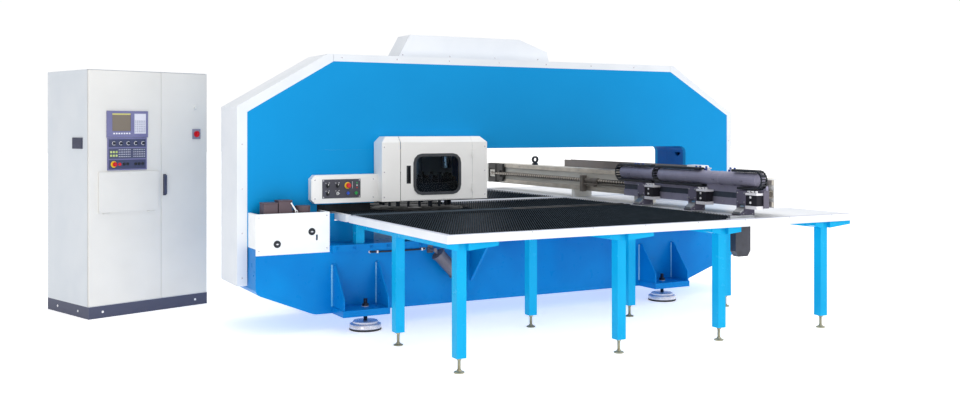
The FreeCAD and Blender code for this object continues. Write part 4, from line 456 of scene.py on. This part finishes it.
def mesh_of(name, form, smooth=True):
    """Ends a mesh in the making: outward faces, smooth where it is round."""
    bmesh.ops.recalc_face_normals(form, faces=form.faces)
    mesh = bpy.data.meshes.new(name)
    form.to_mesh(mesh)
    form.free()
    if smooth:
        mesh.polygons.foreach_set("use_smooth", [True] * len(mesh.polygons))
        mesh.set_sharp_from_angle(angle=math.radians(35.0))
    return mesh


def piece(name, shape, coat, body, slot, *stands_for, smooth=True):
    """Puts a mesh, finished or still in the making, in the scene as a named piece on a body."""
    mesh = shape if isinstance(shape, bpy.types.Mesh) else mesh_of(name, shape, smooth)
    made = bpy.data.objects.new(name, mesh)
    bpy.context.scene.collection.objects.link(made)
    mesh.materials.clear()
    mesh.materials.append(coat)
    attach(made, body)
    if stands_for:
        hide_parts(*stands_for)


# -------- repeats
INPUT_KINDS = {float: "NodeSocketFloat", int: "NodeSocketInt", type(None): "NodeSocketObject"}


def tree_with(name, **inputs):
    """A geometry tree with named inputs, an output and a material input called Finish."""
    tree = bpy.data.node_groups.new(name, "GeometryNodeTree")
    tree.interface.new_socket("Geometry", in_out="INPUT", socket_type="NodeSocketGeometry")
    for key, value in inputs.items():
        socket = tree.interface.new_socket(key.replace("_", " "), in_out="INPUT",
                                           socket_type=INPUT_KINDS[type(value)])
        if value is not None:
            socket.default_value = value
    tree.interface.new_socket("Finish", in_out="INPUT", socket_type="NodeSocketMaterial")
    tree.interface.new_socket("Geometry", in_out="OUTPUT", socket_type="NodeSocketGeometry")
    return tree, add(tree, "NodeGroupInput").outputs, add(tree, "NodeGroupOutput")


def close_tree(tree, given, out, shape):
    """Ends a tree in real geometry with its finish on it."""
    real = add(tree, "GeometryNodeRealizeInstances", {"Geometry": shape})
    coated = add(tree, "GeometryNodeSetMaterial", {"Geometry": real.outputs[0], "Material": given["Finish"]})
    tree.links.new(coated.outputs[0], out.inputs[0])


def tuft_tree():
    """Tapered bristle tufts on the base's points, each leaning and standing a little differently."""
    tree, given, out = tree_with("bristle_tufts", Foot_radius=0.0058, Tip_radius=0.0046, Height=0.019,
                                 Lean=0.03, Seed=7)
    cone = add(tree, "GeometryNodeMeshCone",
               {"Vertices": 4, "Radius Bottom": given["Foot radius"], "Radius Top": given["Tip radius"],
                "Depth": given["Height"]}, fill_type="NGON")
    tilt = add(tree, "FunctionNodeRandomValue", {"Seed": given["Seed"]}, data_type="FLOAT_VECTOR")
    bend = add(tree, "ShaderNodeVectorMath", {0: tilt.outputs[0], 1: (0.5, 0.5, 0.5)}, operation="SUBTRACT")
    lean = add(tree, "ShaderNodeVectorMath", {0: bend.outputs[0], "Scale": given["Lean"]}, operation="SCALE")
    # Inputs 2 and 3 and output 1 are the node's number sockets: each tuft is 95 to 100 % of the full height.
    tall = add(tree, "FunctionNodeRandomValue", {2: 0.95, 3: 1.0, "Seed": given["Seed"]}, data_type="FLOAT")
    size = add(tree, "ShaderNodeCombineXYZ", {"X": 1.0, "Y": 1.0, "Z": tall.outputs[1]})
    placed = add(tree, "GeometryNodeInstanceOnPoints",
                 {"Points": given["Geometry"], "Instance": cone.outputs["Mesh"], "Rotation": lean.outputs[0],
                  "Scale": size.outputs[0]})
    close_tree(tree, given, out, placed.outputs[0])
    return tree


def copies_tree():
    """Copies of one shape on the base's points, turned by each point's own angles."""
    tree, given, out = tree_with("copies_on_points", Shape=None, Size=1.0)
    shape = add(tree, "GeometryNodeObjectInfo", {"Object": given["Shape"]})
    angles = add(tree, "GeometryNodeInputNamedAttribute", {"Name": "angles"}, data_type="FLOAT_VECTOR")
    size = add(tree, "ShaderNodeCombineXYZ", {"X": given["Size"], "Y": given["Size"], "Z": given["Size"]})
    placed = add(tree, "GeometryNodeInstanceOnPoints",
                 {"Points": given["Geometry"], "Instance": shape.outputs["Geometry"],
                  "Rotation": angles.outputs["Attribute"], "Scale": size.outputs[0]})
    close_tree(tree, given, out, placed.outputs[0])
    return tree


def grown(name, places, tree, values, coat, body, slot, *stands_for, angles=None):
    """Runs a geometry tree on points and keeps the result as one plain mesh piece."""
    base_mesh = bpy.data.meshes.new("places")
    base_mesh.from_pydata([tuple(p) for p in places], [], [])
    if angles:
        held = base_mesh.attributes.new("angles", "FLOAT_VECTOR", "POINT")
        held.data.foreach_set("vector", [part for angle in angles for part in angle])
    base = bpy.data.objects.new("places", base_mesh)
    bpy.context.scene.collection.objects.link(base)
    modifier = base.modifiers.new("grow", "NODES")
    modifier.node_group = tree
    wanted = dict(values, Finish=coat)
    for item in tree.interface.items_tree:
        if item.item_type == "SOCKET" and item.in_out == "INPUT" and item.name in wanted:
            modifier[item.identifier] = wanted[item.name]
    graph = bpy.context.evaluated_depsgraph_get()
    mesh = bpy.data.meshes.new_from_object(base.evaluated_get(graph))
    bpy.data.objects.remove(base)
    piece(name, mesh, coat, body, slot, *stands_for)


COPIES = copies_tree()


def copies(name, form, spots, coat, body, slot, *stands_for, size=1.0, smooth=True):
    """Copies of one shape, given as a mesh in the making, at (place, angles) spots."""
    pattern = bpy.data.objects.new("pattern", mesh_of("pattern", form, smooth))
    bpy.context.scene.collection.objects.link(pattern)
    grown(name, [spot[0] for spot in spots], COPIES, {"Shape": pattern, "Size": size}, coat, body, slot,
          *stands_for, angles=[spot[1] for spot in spots])
    bpy.data.objects.remove(pattern)


RIGHT_ANGLE = math.radians(90.0)
FACING_NEAR, FACING_LEFT = (RIGHT_ANGLE, 0.0, 0.0), (0.0, -RIGHT_ANGLE, 0.0)
CABINET_NEAR, CABINET_SIDE = (RIGHT_ANGLE, 0.0, CABINET_TURN), (RIGHT_ANGLE, 0.0, CABINET_TURN - RIGHT_ANGLE)


def on_unit(stations, heights, face=UNIT_FACE):
    """Spots on the operator unit's front, where copies stand."""
    return [(cabinet_at(u, face, z), CABINET_NEAR) for u in stations for z in heights]


# Button-head screw with a socket, 12 mm across, standing 4 mm off its sheet.
SCREW_HEAD = [(0, -0.5), (6, -0.5), (6, 1.2), (5, 3.0), (3.2, 3.8), (3.0, 3.8), (2.6, 1.6), (0, 1.6)]
# Socket-head bolt, 19 mm across, on a 26 mm washer.
BOLT_HEAD = [(0, 0), (13, 0), (13, 2), (9, 2), (9.4, 3), (9.4, 11), (8.4, 12), (5, 12), (4.4, 6), (0, 6)]


# -------- brushes
def strip_places():
    """Strips of tufts across the tables, free of the collar and the gauge: (field, station, low, high)."""
    margin = 2.0
    for field, (low, high) in FIELDS.items():
        for i in range(int((BRUSH_SPAN[1] - BRUSH_SPAN[0]) / STRIP_PITCH)):
            x = BRUSH_SPAN[0] + (i + 0.5) * STRIP_PITCH
            gaps = []
            inner = max(abs(x - TURRET_X) - STRIP_PITCH / 2, 0.0)
            if field == "centre" and inner < COLLAR_R:
                half = math.sqrt(COLLAR_R ** 2 - inner ** 2) + margin
                gaps.append((-half, half))
            if field == "near" and abs(x - GAUGE_AT[0]) < GAUGE_ROOM[0] + STRIP_PITCH / 2:
                gaps.append((GAUGE_AT[1] - GAUGE_ROOM[1] - margin, GAUGE_AT[1] + GAUGE_ROOM[1] + margin))
            start = low
            for a, b in gaps + [(high, high)]:
                if a - start > TUFT_PITCH:
                    yield field, x, start, a
                start = b


def brushes():
    """Each strip is a black back with a row of tufts, coarser than real bristles, so that they show."""
    tree = tuft_tree()
    backs = bmesh.new()
    rows = {field: [] for field in FIELDS}
    for field, x, low, high in strip_places():
        block(backs, (x - BACK_HALF, low, BRUSH_FLOOR), (x + BACK_HALF, high, BRUSH_FLOOR + BACK_HIGH), at, 0.8)
        count = int((high - low) / TUFT_PITCH)
        step = (high - low) / count
        rows[field] += [at(x, low + (k + 0.5) * step, BRUSH_FLOOR + BACK_HIGH - 1) for k in range(count)]
    piece("brush_backs", backs, rubber_black, "machine_base", "brush_black", "brush_field", smooth=False)
    for field, places in rows.items():
        grown("brush_tufts_" + field, places, tree, {}, bristles, "machine_base", "brush_black", "brush_field")
    seam = [at(BRUSH_SPAN[0] + (i + 0.5) * STRIP_PITCH, y, PASS_Z - 0.1) for i in range(SEAM_STRIPS)
            for y in SEAM_ROWS]
    grown("brush_tufts_seam", seam, tree, {"Height": 0.0022, "Foot radius": 0.0085}, bristles, "machine_base",
          "brush_black")


brushes()


# -------- feet and mounts
def upright(name, profile, spots, coat, sides, slot, *stands_for):
    """One turned shape standing on the floor's plane at each spot."""
    form = bmesh.new()
    for x, y in spots:
        lathe(form, profile, at(x, y, 0), sides=sides)
    piece(name, form, coat, "machine_base", slot, *stands_for)


def ripple(radius, low, high, pitch, depth):
    """Profile of a threaded stem: crests and roots, coarser than the real thread so that it shows."""
    profile = []
    for i in range(int((high - low) / pitch)):
        profile += [(radius, low + i * pitch), (radius - depth, low + (i + 0.5) * pitch)]
    return profile + [(radius, high)]


def nuts(name, across, height, levels, spots, coat, slot, *stands_for):
    """Six-sided nuts with chamfered corners."""
    r = across / math.sqrt(3)
    low, high = height * 0.15, height * 0.85
    form = bmesh.new()
    for x, y in spots:
        for level in levels:
            lathe(form, [(0, 0), (r * 0.9, 0), (r, low), (r, high), (r * 0.9, height), (0, height)],
                  at(x, y, level), sides=6)
    piece(name, form, coat, "machine_base", slot, *stands_for, smooth=False)


def mounts():
    """Vibration mounts: rubber sole, pressed shell and cap, threaded stud with two nuts and a washer."""
    upright("mount_soles", [(0, 0), (120, 0), (125.5, 4), (125.5, 13), (119, 16), (0, 16)], MOUNTS,
            rubber_black, 40, "rubber_black", "vibration_mounts")
    upright("mount_shells", [(0, 14), (121, 14), (125.5, 18), (125.5, 42), (121, 49), (108, 54), (0, 54)],
            MOUNTS, zinc_steel, 40, "light_steel", "vibration_mounts")
    upright("mount_caps", [(0, 53), (97, 53), (99.5, 56), (99.5, 66), (94, 72), (40, 74.5), (0, 74.5)], MOUNTS,
            zinc_steel, 40, "light_steel", "vibration_mounts")
    upright("mount_studs", [(0, 74)] + ripple(15.8, 74, 240, 6.0, 1.4) + [(0, 241.5)], MOUNTS,
            dark_steel, 14, "dark_steel", "vibration_mounts")
    nuts("mount_nuts", 48, 24, (106, 180), MOUNTS, dark_steel, "dark_steel", "vibration_mounts")
    upright("mount_washers", [(0, 180), (30, 180), (30, 184), (0, 184)], MOUNTS, zinc_steel, 20, "light_steel")


def table_feet():
    """Levelling feet: pad, threaded stem and lock nut."""
    upright("foot_pads", [(0, 0), (33, 0), (35.5, 2), (35.5, 7), (31, 10), (17, 15), (14, 22), (0, 22)],
            TABLE_FEET, yellow_zinc, 20, "chrome_steel", "levelling_feet")
    upright("foot_stems", [(0, 20)] + ripple(11, 21, 96, 5.0, 1.2) + [(0, 96.9)], TABLE_FEET, yellow_zinc, 12,
            "chrome_steel", "levelling_feet")
    nuts("foot_nuts", 30, 13, (83,), TABLE_FEET, yellow_zinc, "chrome_steel", "levelling_feet")


mounts()
table_feet()


# -------- frame details
def weld_beads():
    """Hand-laid beads down the outer side of each foot bracket's gussets, coarser than real, so that they show."""
    foot, ripples, pitch = 182.0, 27, 12.0
    profile = [(0, 0)]
    for i in range(ripples):
        profile += [(6.0, i * pitch + 2), (9.0 + 0.8 * math.sin(i * 1.7), i * pitch + 8)]
    profile.append((0, ripples * pitch + 2))
    form = bmesh.new()
    for x in FOOT_PLATES:
        for side in (-1, 1):
            for gusset in GUSSETS:
                lathe(form, profile, at(x + gusset - 4.0, side * (-BEAM_FACE + 2.0), foot), sides=8)
    # The beads' pale blue is a painted highlight.
    piece("weld_beads", form, weld_highlight_enamel, "machine_base", "blue_paint")


def cover_screws():
    """Button-head screws along the sheet covers, and bolts along the ledge and the way."""
    rows = ((FRAME_FACE, (-746, 4095), (420, 760, 1100, 1440)),     # end covers
            (FRAME_FACE, range(60, 3400, 480), (2126,)),            # top cover
            (HOOD_FACE, (640, 1080, 1520, 1960), (2175,)),
            (GUARD_FACE, (356, 1270), (1010, 1210, 1410)),
            (BOX_FACE, (-676, -142), (640, 890)),
            (PANEL_FACE, (-122, 180), (1019, 1150)),
            (CONTROL_FACE, (-190, 300), (1010, 1155)))
    spots = [(at(x, y, z), FACING_NEAR) for y, stations, heights in rows for x in stations for z in heights]
    copies("cover_screws", turned(SCREW_HEAD, 12), spots, zinc_steel, "machine_base", "light_steel")
    spots = [(at(x, LEDGE_FACE, 628), FACING_NEAR) for x in range(-60, 1360, 142)]
    spots += [(at(x, WAY_FACE, 690), FACING_NEAR) for x in range(1460, 3440, 220)]
    copies("ledge_bolts", turned(BOLT_HEAD, 12), spots, beam_enamel, "machine_base", "blue_paint")


def clipped_cable():
    """Cable under the ledge: one smooth run from grommet to grommet, held by two clips."""
    y, z = CABLE_Y, CABLE_Z
    points = [(218, y + 30, z), (222, y + 9, z), (246, y, z), (330, y, z - 0.5), (456, y, z - 2),
              (582, y, z - 0.5), (662, y, z), (686, y + 9, z), (690, y + 30, z)]
    line = bpy.data.curves.new("base_cable_run", "CURVE")
    line.dimensions = "3D"
    line.bevel_depth = 0.007
    line.bevel_resolution = 3
    line.use_fill_caps = True
    spline = line.splines.new("NURBS")
    spline.points.add(len(points) - 1)
    for knot, point in zip(spline.points, points):
        knot.co = (*at(*point), 1.0)
    spline.order_u = 3
    spline.use_endpoint_u = True
    drawn = bpy.data.objects.new("cable_line", line)
    bpy.context.scene.collection.objects.link(drawn)
    mesh = bpy.data.meshes.new_from_object(drawn.evaluated_get(bpy.context.evaluated_depsgraph_get()))
    bpy.data.objects.remove(drawn)
    piece("clipped_cable", mesh, black_moulding, "machine_base", "black_plastic", "base_cable")
    form = bmesh.new()
    for x in (262, 650):
        for low, high in (((-470, 578), (-435, 581)), ((-470, 595), (-435, 598.5)), ((-471, 578), (-468, 598.5))):
            block(form, (x, *low), (x + 14, *high), at, 0.8)
    for x in (218, 690):
        lathe(form, [(0, 0), (12, 0), (12, 2), (9, 4), (0, 4)], at(x, BEAM_FACE, z), (0, -1, 0), 16)
    piece("cable_clips", form, zinc_steel, "machine_base", "light_steel", "base_cable")


def closing_plates():
    """Plates that close the throat left of the guard, a black strip curtain behind them, a dark sheet of painted
    shade for the throat's dark inside, and the guard's end screen in the webs' deeper blue, painted shade for the
    inside of the guard.

    The sheet and the brushes pass between the two plates, so this painted shade hangs there as a curtain instead of a
    steel plate.
    """
    left, right, top, corner = THROAT_LEFT, GUARD_LEFT, THROAT_TOP, THROAT_CORNER
    beam_top, under_table, pass_low, pass_high = 655.2, 828.0, 886.0, 960.0
    arc = [math.pi / 24 * i for i in range(1, 13)]
    upper = [(left, pass_high), (right, pass_high), (right, top), (left + corner, top)]
    upper += [(left + corner - corner * math.sin(a), top - corner + corner * math.cos(a)) for a in arc]
    lower = [(left, beam_top), (right, beam_top), (right, under_table), (-3, under_table), (-3, pass_low),
             (left, pass_low)]
    form = bmesh.new()
    for outline in (upper, lower):
        near = [form.verts.new(at(x, FRAME_FACE, z)) for x, z in outline]
        far = [form.verts.new(at(x, PLATE_BACK, z)) for x, z in outline]
        form.faces.new(near)
        form.faces.new(list(reversed(far)))
        for i in range(len(near)):
            k = (i + 1) % len(near)
            form.faces.new([near[i], near[k], far[k], far[i]])
    piece("throat_closing_plate", form, frame_enamel, "machine_base", "blue_paint")
    # The curtain: a black sheet of painted shade for the throat's dark inside.
    curtain = bmesh.new()
    for i in range(24):
        x, y = -149 + i * 20.0, -162 + i % 2 * 2
        block(curtain, (x, y, PASS_Z + 2), (x + 21.5, y + 3, PASS_Z + 100), at, 0.6)
    piece("throat_curtain", curtain, rubber_black, "machine_base", "rubber_black", smooth=False)
    # The end screen wears the webs' deeper blue, painted shade for the inside of the guard.
    screen = bmesh.new()
    block(screen, (GUARD_RIGHT, -232, 985), (GUARD_RIGHT + 5, 232, 1387), at, 1.5)
    piece("guard_end_screen", screen, web_enamel, "machine_base", "blue_paint")


def crossbeam_end_plate():
    """White plate on the crossbeam's near end."""
    plate = bmesh.new()
    block(plate, (2784, -2209, 972), (2936, -2203, 1158), at, 2.0)
    piece("crossbeam_end_plate", plate, white_sheet, "crossbeam", "white_paint")


def latch_highlight_bars():
    """Raised grip bar across each quarter-turn latch of the cover box, with a boss, both in pale zinc as a painted
    highlight on the black latch.
    """
    for side in ("left", "right"):
        low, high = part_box("cover_latch_" + side)
        x, y, z = (low.x + high.x) * 500 - LEFT_EDGE, low.y * 1000, (low.z + high.z) * 500
        # Pale zinc bar and boss: a painted highlight on the black latch.
        form = bmesh.new()
        block(form, (x - 11, y - 2.5, z - 2.6), (x + 11, y + 0.5, z + 2.6), at, 0.8)
        lathe(form, [(0, -0.5), (6, -0.5), (6, 1.5), (4.5, 2.4), (0, 2.4)], at(x, y, z), (0, -1, 0), 14)
        piece("latch_bar_" + side, form, zinc_steel, "latch_" + side, "light_steel")


weld_beads()
closing_plates()
crossbeam_end_plate()
latch_highlight_bars()
cover_screws()
clipped_cable()


# -------- carriage details
def chain_link():
    """One link: two waisted side plates, joined by an outer and an inner crossbar."""
    form = bmesh.new()
    for x in (-29.5, 23.5):
        block(form, (x, -11.5, -7.5), (x + 6, 11.5, 7.5), local, 2.0)
        block(form, (x + 1, -7.0, -9.8), (x + 5, 7.0, 9.8), local, 1.2)
    for z in (-9.6, 7.2):
        block(form, (-24, -5.0, z), (24, 5.0, z + 2.4), local, 0.6)
    return form


def chain_links():
    """Links round each chain's loop, and three hoses lying in its upper run."""
    spots, hoses = [], bmesh.new()
    arc = math.pi * CHAIN_MID_R
    for turn_y, top_end, low_end, toward in CHAINS:
        top_run, low_run = abs(turn_y - top_end), abs(turn_y - low_end)
        count = int((top_run + arc + low_run) / CHAIN_PITCH)
        step = (top_run + arc + low_run) / count
        for i in range(count):
            s = (i + 0.5) * step
            if s < top_run:
                y, z, theta = top_end + toward * s, TUBE_Z + CHAIN_MID_R, 0.0
            elif s < top_run + arc:
                theta = (s - top_run) / CHAIN_MID_R
                y = turn_y + toward * CHAIN_MID_R * math.sin(theta)
                z = TUBE_Z + CHAIN_MID_R * math.cos(theta)
            else:
                y, z, theta = turn_y - toward * (s - top_run - arc), TUBE_Z - CHAIN_MID_R, math.pi
            spots.append((at(CHAIN_X, y, z), (-toward * theta, 0.0, 0.0)))
        for x in (-12, 0, 12):
            lathe(hoses, [(0, 0), (5, 0), (5, top_run), (0, top_run)],
                  at(CHAIN_X + x, top_end, TUBE_Z + CHAIN_MID_R), (0, toward, 0), 8)
    copies("chain_links", chain_link(), spots, black_moulding, "carriage", "black_plastic", "energy_chains",
           smooth=False)
    piece("chain_cores", hoses, rubber_black, "carriage", "black_plastic", "energy_chains")


def valves():
    """Small air valves along the tube's back, each with a round coil on top, and white plugs beside them."""
    bodies, plugs = bmesh.new(), bmesh.new()
    for y in (-560, -606, -668, -1380, -1429, -1503, -1790, -1836):
        block(bodies, (2703, y - 15, 1206), (2727, y + 15, 1236), at, 2.0)
        lathe(bodies, [(0, 0), (9, 0), (9, 16), (7, 19), (0, 19)], at(2715, y - 4, 1235), (0, 0, 1), 12)
    for y in (-630, -706, -1458, -1540, -1812):
        block(plugs, (2702, y - 8, 1210), (2724, y + 8, 1244), at, 2.0, 0.15)
        lathe(plugs, [(0, 0), (5, 0), (5, 22), (4, 24), (0, 24)], at(2712, y - 6, 1238), (0, -1, 0), 10)
    piece("valve_bodies", bodies, valve_moulding, "carriage", "blue_plastic")
    piece("valve_plugs", plugs, white_moulding, "carriage", "white_paint")


def clamp_details():
    """Banjo elbows on the air blocks, cap screws on cheeks and carriage, and black blocks as painted shade for the
    slots in the tube's cover.
    """
    elbows, screws, slots = bmesh.new(), [], bmesh.new()
    for y in CLAMPS:
        for dy in (-150, -110, -70):
            lathe(elbows, [(0, 0), (8, 0), (8, 5), (5.5, 6), (5.5, 16), (0, 16)], at(2630, y + dy, 1071.5), sides=10)
            lathe(elbows, [(0, 0), (4.5, 0), (4.5, 20), (0, 20)], at(2630, y + dy, 1084), (-1, 0, 0), 8)
        for z in (1000, 1040):
            lathe(elbows, [(0, 0), (9, 0), (9, 6), (6, 8), (0, 8)], at(2612.5, y - 100, z), (-1, 0, 0), 10)
        for x, z in ((2620, 1070), (2680, 1070), (2680, 910), (2590, 912), (2620, 1004), (2680, 990)):
            screws.append((at(x, y - 48, z), FACING_NEAR))
        screws += [(at(2606, y + dy, z), FACING_LEFT) for dy in (-36, 36) for z in (1070, 1000)]
    screws += [(at(2700, y, z), FACING_LEFT) for y in range(-2150, -430, 215) for z in (985, 1098)]
    copies("clamp_screws", turned(SCREW_HEAD, 12), screws, light_steel, "carriage", "light_steel")
    # Black blocks standing for the tube cover's slots: painted shade where they open.
    for y in (-540, -555, -570, -1660, -1680, -1980, -2000):
        block(slots, (2641.2, y - 3, 1150), (2646, y + 3, 1166), at, 0.8)
    piece("clamp_elbows", elbows, white_moulding, "carriage", "white_paint")
    piece("tube_slots", slots, black_moulding, "carriage", "black_plastic")


def tube_bands():
    """Rolled bands where the cover tube's lengths join, and its end rings."""
    form = bmesh.new()
    for y in (-2136, -1720, -1330, -974, -876, -431):
        lathe(form, [(TUBE_R, -5), (TUBE_R + 1.7, -3.5), (TUBE_R + 1.7, 3.5), (TUBE_R, 5)],
              at(TUBE_X, y, TUBE_Z), (0, 1, 0), 40)
    piece("tube_bands", form, carriage_enamel, "carriage", "grey_paint")


def crossbeam_details():
    """Cables lying in the crossbeam's tray, and the guide rails' bolts."""
    cables = bmesh.new()
    for x, r in ((2900, 9), (2918, 7), (2934, 11), (2954, 8)):
        lathe(cables, [(0, 0), (r, 2), (r, 1905), (0, 1907)], at(x, -1048, 1175.2 + r), (0, 1, 0), 10)
    piece("tray_cables", cables, black_moulding, "crossbeam", "black_plastic")
    spots = [(at(2750, y, z), FACING_LEFT) for z in (985, 1150) for y in range(-2150, 1860, 160)]
    copies("rail_bolts", turned(SCREW_HEAD, 12), spots, light_steel, "crossbeam", "light_steel", size=0.9)


chain_links()
valves()
clamp_details()
tube_bands()
crossbeam_details()


# -------- panels
def collar(name, place, axis, body, slot, outer, inner):
    """Raised yellow ring round a stop button."""
    form = bmesh.new()
    lathe(form, [(inner, 0), (outer, 0), (outer, 2.2), (outer - 2, 3.4), (inner, 3.4), (inner, 0)], place, axis, 28)
    piece(name, form, yellow_moulding, body, slot)


def cabinet_details():
    """The side vent's slats, the operator unit's keys, buttons and knob scales, and the plinth's plugs."""
    vent, key, lit = bmesh.new(), bmesh.new(), bmesh.new()
    door, button_z, knob_z = "cabinet_door_left", 1262, 1436
    for i in range(9):
        z = 1399 + i * 9.2
        block(vent, (-8.5, 112, z), (-5.5, 275, z + 5.2), cabinet_at, 1.0)
    piece("vent_slats", vent, vent_moulding, "machine_base", "dark_panel")
    block(key, (-5.2, -4.4, 0), (5.2, 4.4, 3.4), local, 1.0, 0.12)
    spots = on_unit([u + 16 * i for u in (262, 394) for i in range(7)], (1325, 1344, 1363, 1382))
    spots += on_unit([408 + 16.4 * i for i in range(6)], range(1532, 1623, 15), KEY_FACE)
    copies("unit_keys", key, spots, key_moulding, door, "unit_grey", smooth=False)
    block(lit, (-9, -9, 0), (9, 9, 4.0), local, 1.4, 0.1)
    copies("lit_keys", lit, on_unit((190, 214, 238), (1334, 1364)), lit_moulding, door, "unit_grey", smooth=False)
    knob = turned([(0, 0), (13, 0), (13, 2), (9.5, 3), (9, 12), (7, 14), (0, 14)], 18)
    copies("unit_buttons", knob, on_unit((306, 338, 410, 442, 474), (button_z,)), black_moulding, door,
           "black_plastic")
    red = turned([(0, 0), (14, 0), (14, 3), (11, 4), (11, 9), (9, 11), (0, 11)], 18)
    copies("red_button", red, on_unit((266,), (button_z,)), red_moulding, door, "red_plastic")
    outward = (math.sin(CABINET_TURN), -math.cos(CABINET_TURN), 0.0)
    collar("cabinet_stop_ring", cabinet_at(214, UNIT_FACE - 0.2, button_z), outward, door, "unit_grey", 27.0, 12.0)
    ring = turned([(12.5, 0), (16, 0), (16, 1.0), (12.5, 1.0), (12.5, 0)], 20)
    copies("knob_scales", ring, on_unit((215, 277, 343, 411, 478), (knob_z,)), white_moulding, door, "unit_grey")
    plug = turned([(0, -0.5), (10, -0.5), (10, 1.5), (8, 3), (0, 3.4)], 16)
    spots = [(cabinet_at(u, 0, 50), CABINET_NEAR) for u in (120, 980)]
    spots += [(cabinet_at(0, v, 50), CABINET_SIDE) for v in (190, 560)]
    copies("plinth_plugs", plug, spots, white_moulding, "machine_base", "cabinet_paint")


cabinet_details()
collar("stop_ring", at(80, PANEL_FACE - 0.1, 1109), (0, -1, 0), "machine_base", "dark_panel", 26.0, 13.0)


# -------- stage, light and camera
def stage_floor():
    """Matt white studio floor with a little light of its own, so that it stays white up to the object."""
    reach = 60.0
    mesh = bpy.data.meshes.new("floor")
    mesh.from_pydata([(-reach, -reach, 0), (reach, -reach, 0), (reach, reach, 0), (-reach, reach, 0)], [],
                     [(0, 1, 2, 3)])
    mesh.materials.append(finish("studio_floor", "#F8F8F8", "#FAFAFA", (0.85, 0.95), tone=(900, 2), sheen=(200, 2),
                                 IOR=1.3, Specular_IOR_Level=0.1, Emission_Color=rgb("#FFFFFF"),
                                 Emission_Strength=0.5))
    floor = bpy.data.objects.new("floor", mesh)
    bpy.context.scene.collection.objects.link(floor)


def soft_light(name, place, target, size, watts):
    """A white soft box at a place in metres that points at a target."""
    data = bpy.data.lights.new(name, "AREA")
    data.shape = "RECTANGLE"
    data.size, data.size_y = size
    data.energy = watts
    made = bpy.data.objects.new(name, data)
    made.location = place
    made.rotation_euler = (Vector(target) - Vector(place)).to_track_quat("-Z", "Y").to_euler()
    bpy.context.scene.collection.objects.link(made)


def studio_world():
    """White studio: full strength behind and above the machine, weaker from its left end."""
    world = bpy.data.worlds.new("studio")
    world.use_nodes = True
    tree = world.node_tree
    axes = add(tree, "ShaderNodeSeparateXYZ", {"Vector": add(tree, "ShaderNodeTexCoord").outputs["Generated"]})
    left = add(tree, "ShaderNodeMapRange", {"Value": axes.outputs["X"], "From Min": -0.1, "From Max": -1.0,
                                            "To Min": 1.02, "To Max": 0.42})
    background = tree.nodes["Background"]
    background.inputs["Color"].default_value = rgb("#FFFFFF")
    tree.links.new(left.outputs["Result"], background.inputs["Strength"])
    bpy.context.scene.world = world


def photo_camera():
    """The photograph's camera, level, with its lens shifted, as solved from points on the machine."""
    lens = bpy.data.cameras.new("camera")
    lens.sensor_width = 36.0
    lens.lens = 39.0
    lens.shift_y = -0.0775
    lens.clip_end = 200.0
    camera = bpy.data.objects.new("camera", lens)
    camera.location = at(-2923.0, -8060.0, 1567.0)
    camera.rotation_euler = (RIGHT_ANGLE, 0.0, math.radians(-28.43))
    bpy.context.scene.collection.objects.link(camera)
    bpy.context.scene.camera = camera


stage_floor()
studio_world()
soft_light("key_front", (1.5, -9.5, 5.5), (0, 0, 1.0), (6.0, 4.0), 90)
soft_light("low_left", (-7.5, -7.0, 1.6), (-1.5, -0.4, 0.5), (1.6, 2.4), 70)
soft_light("top", (0.5, 0.0, 7.5), (0.5, 0, 0), (7.0, 5.0), 70)
photo_camera()
bpy.context.scene.view_settings.view_transform = "Standard"
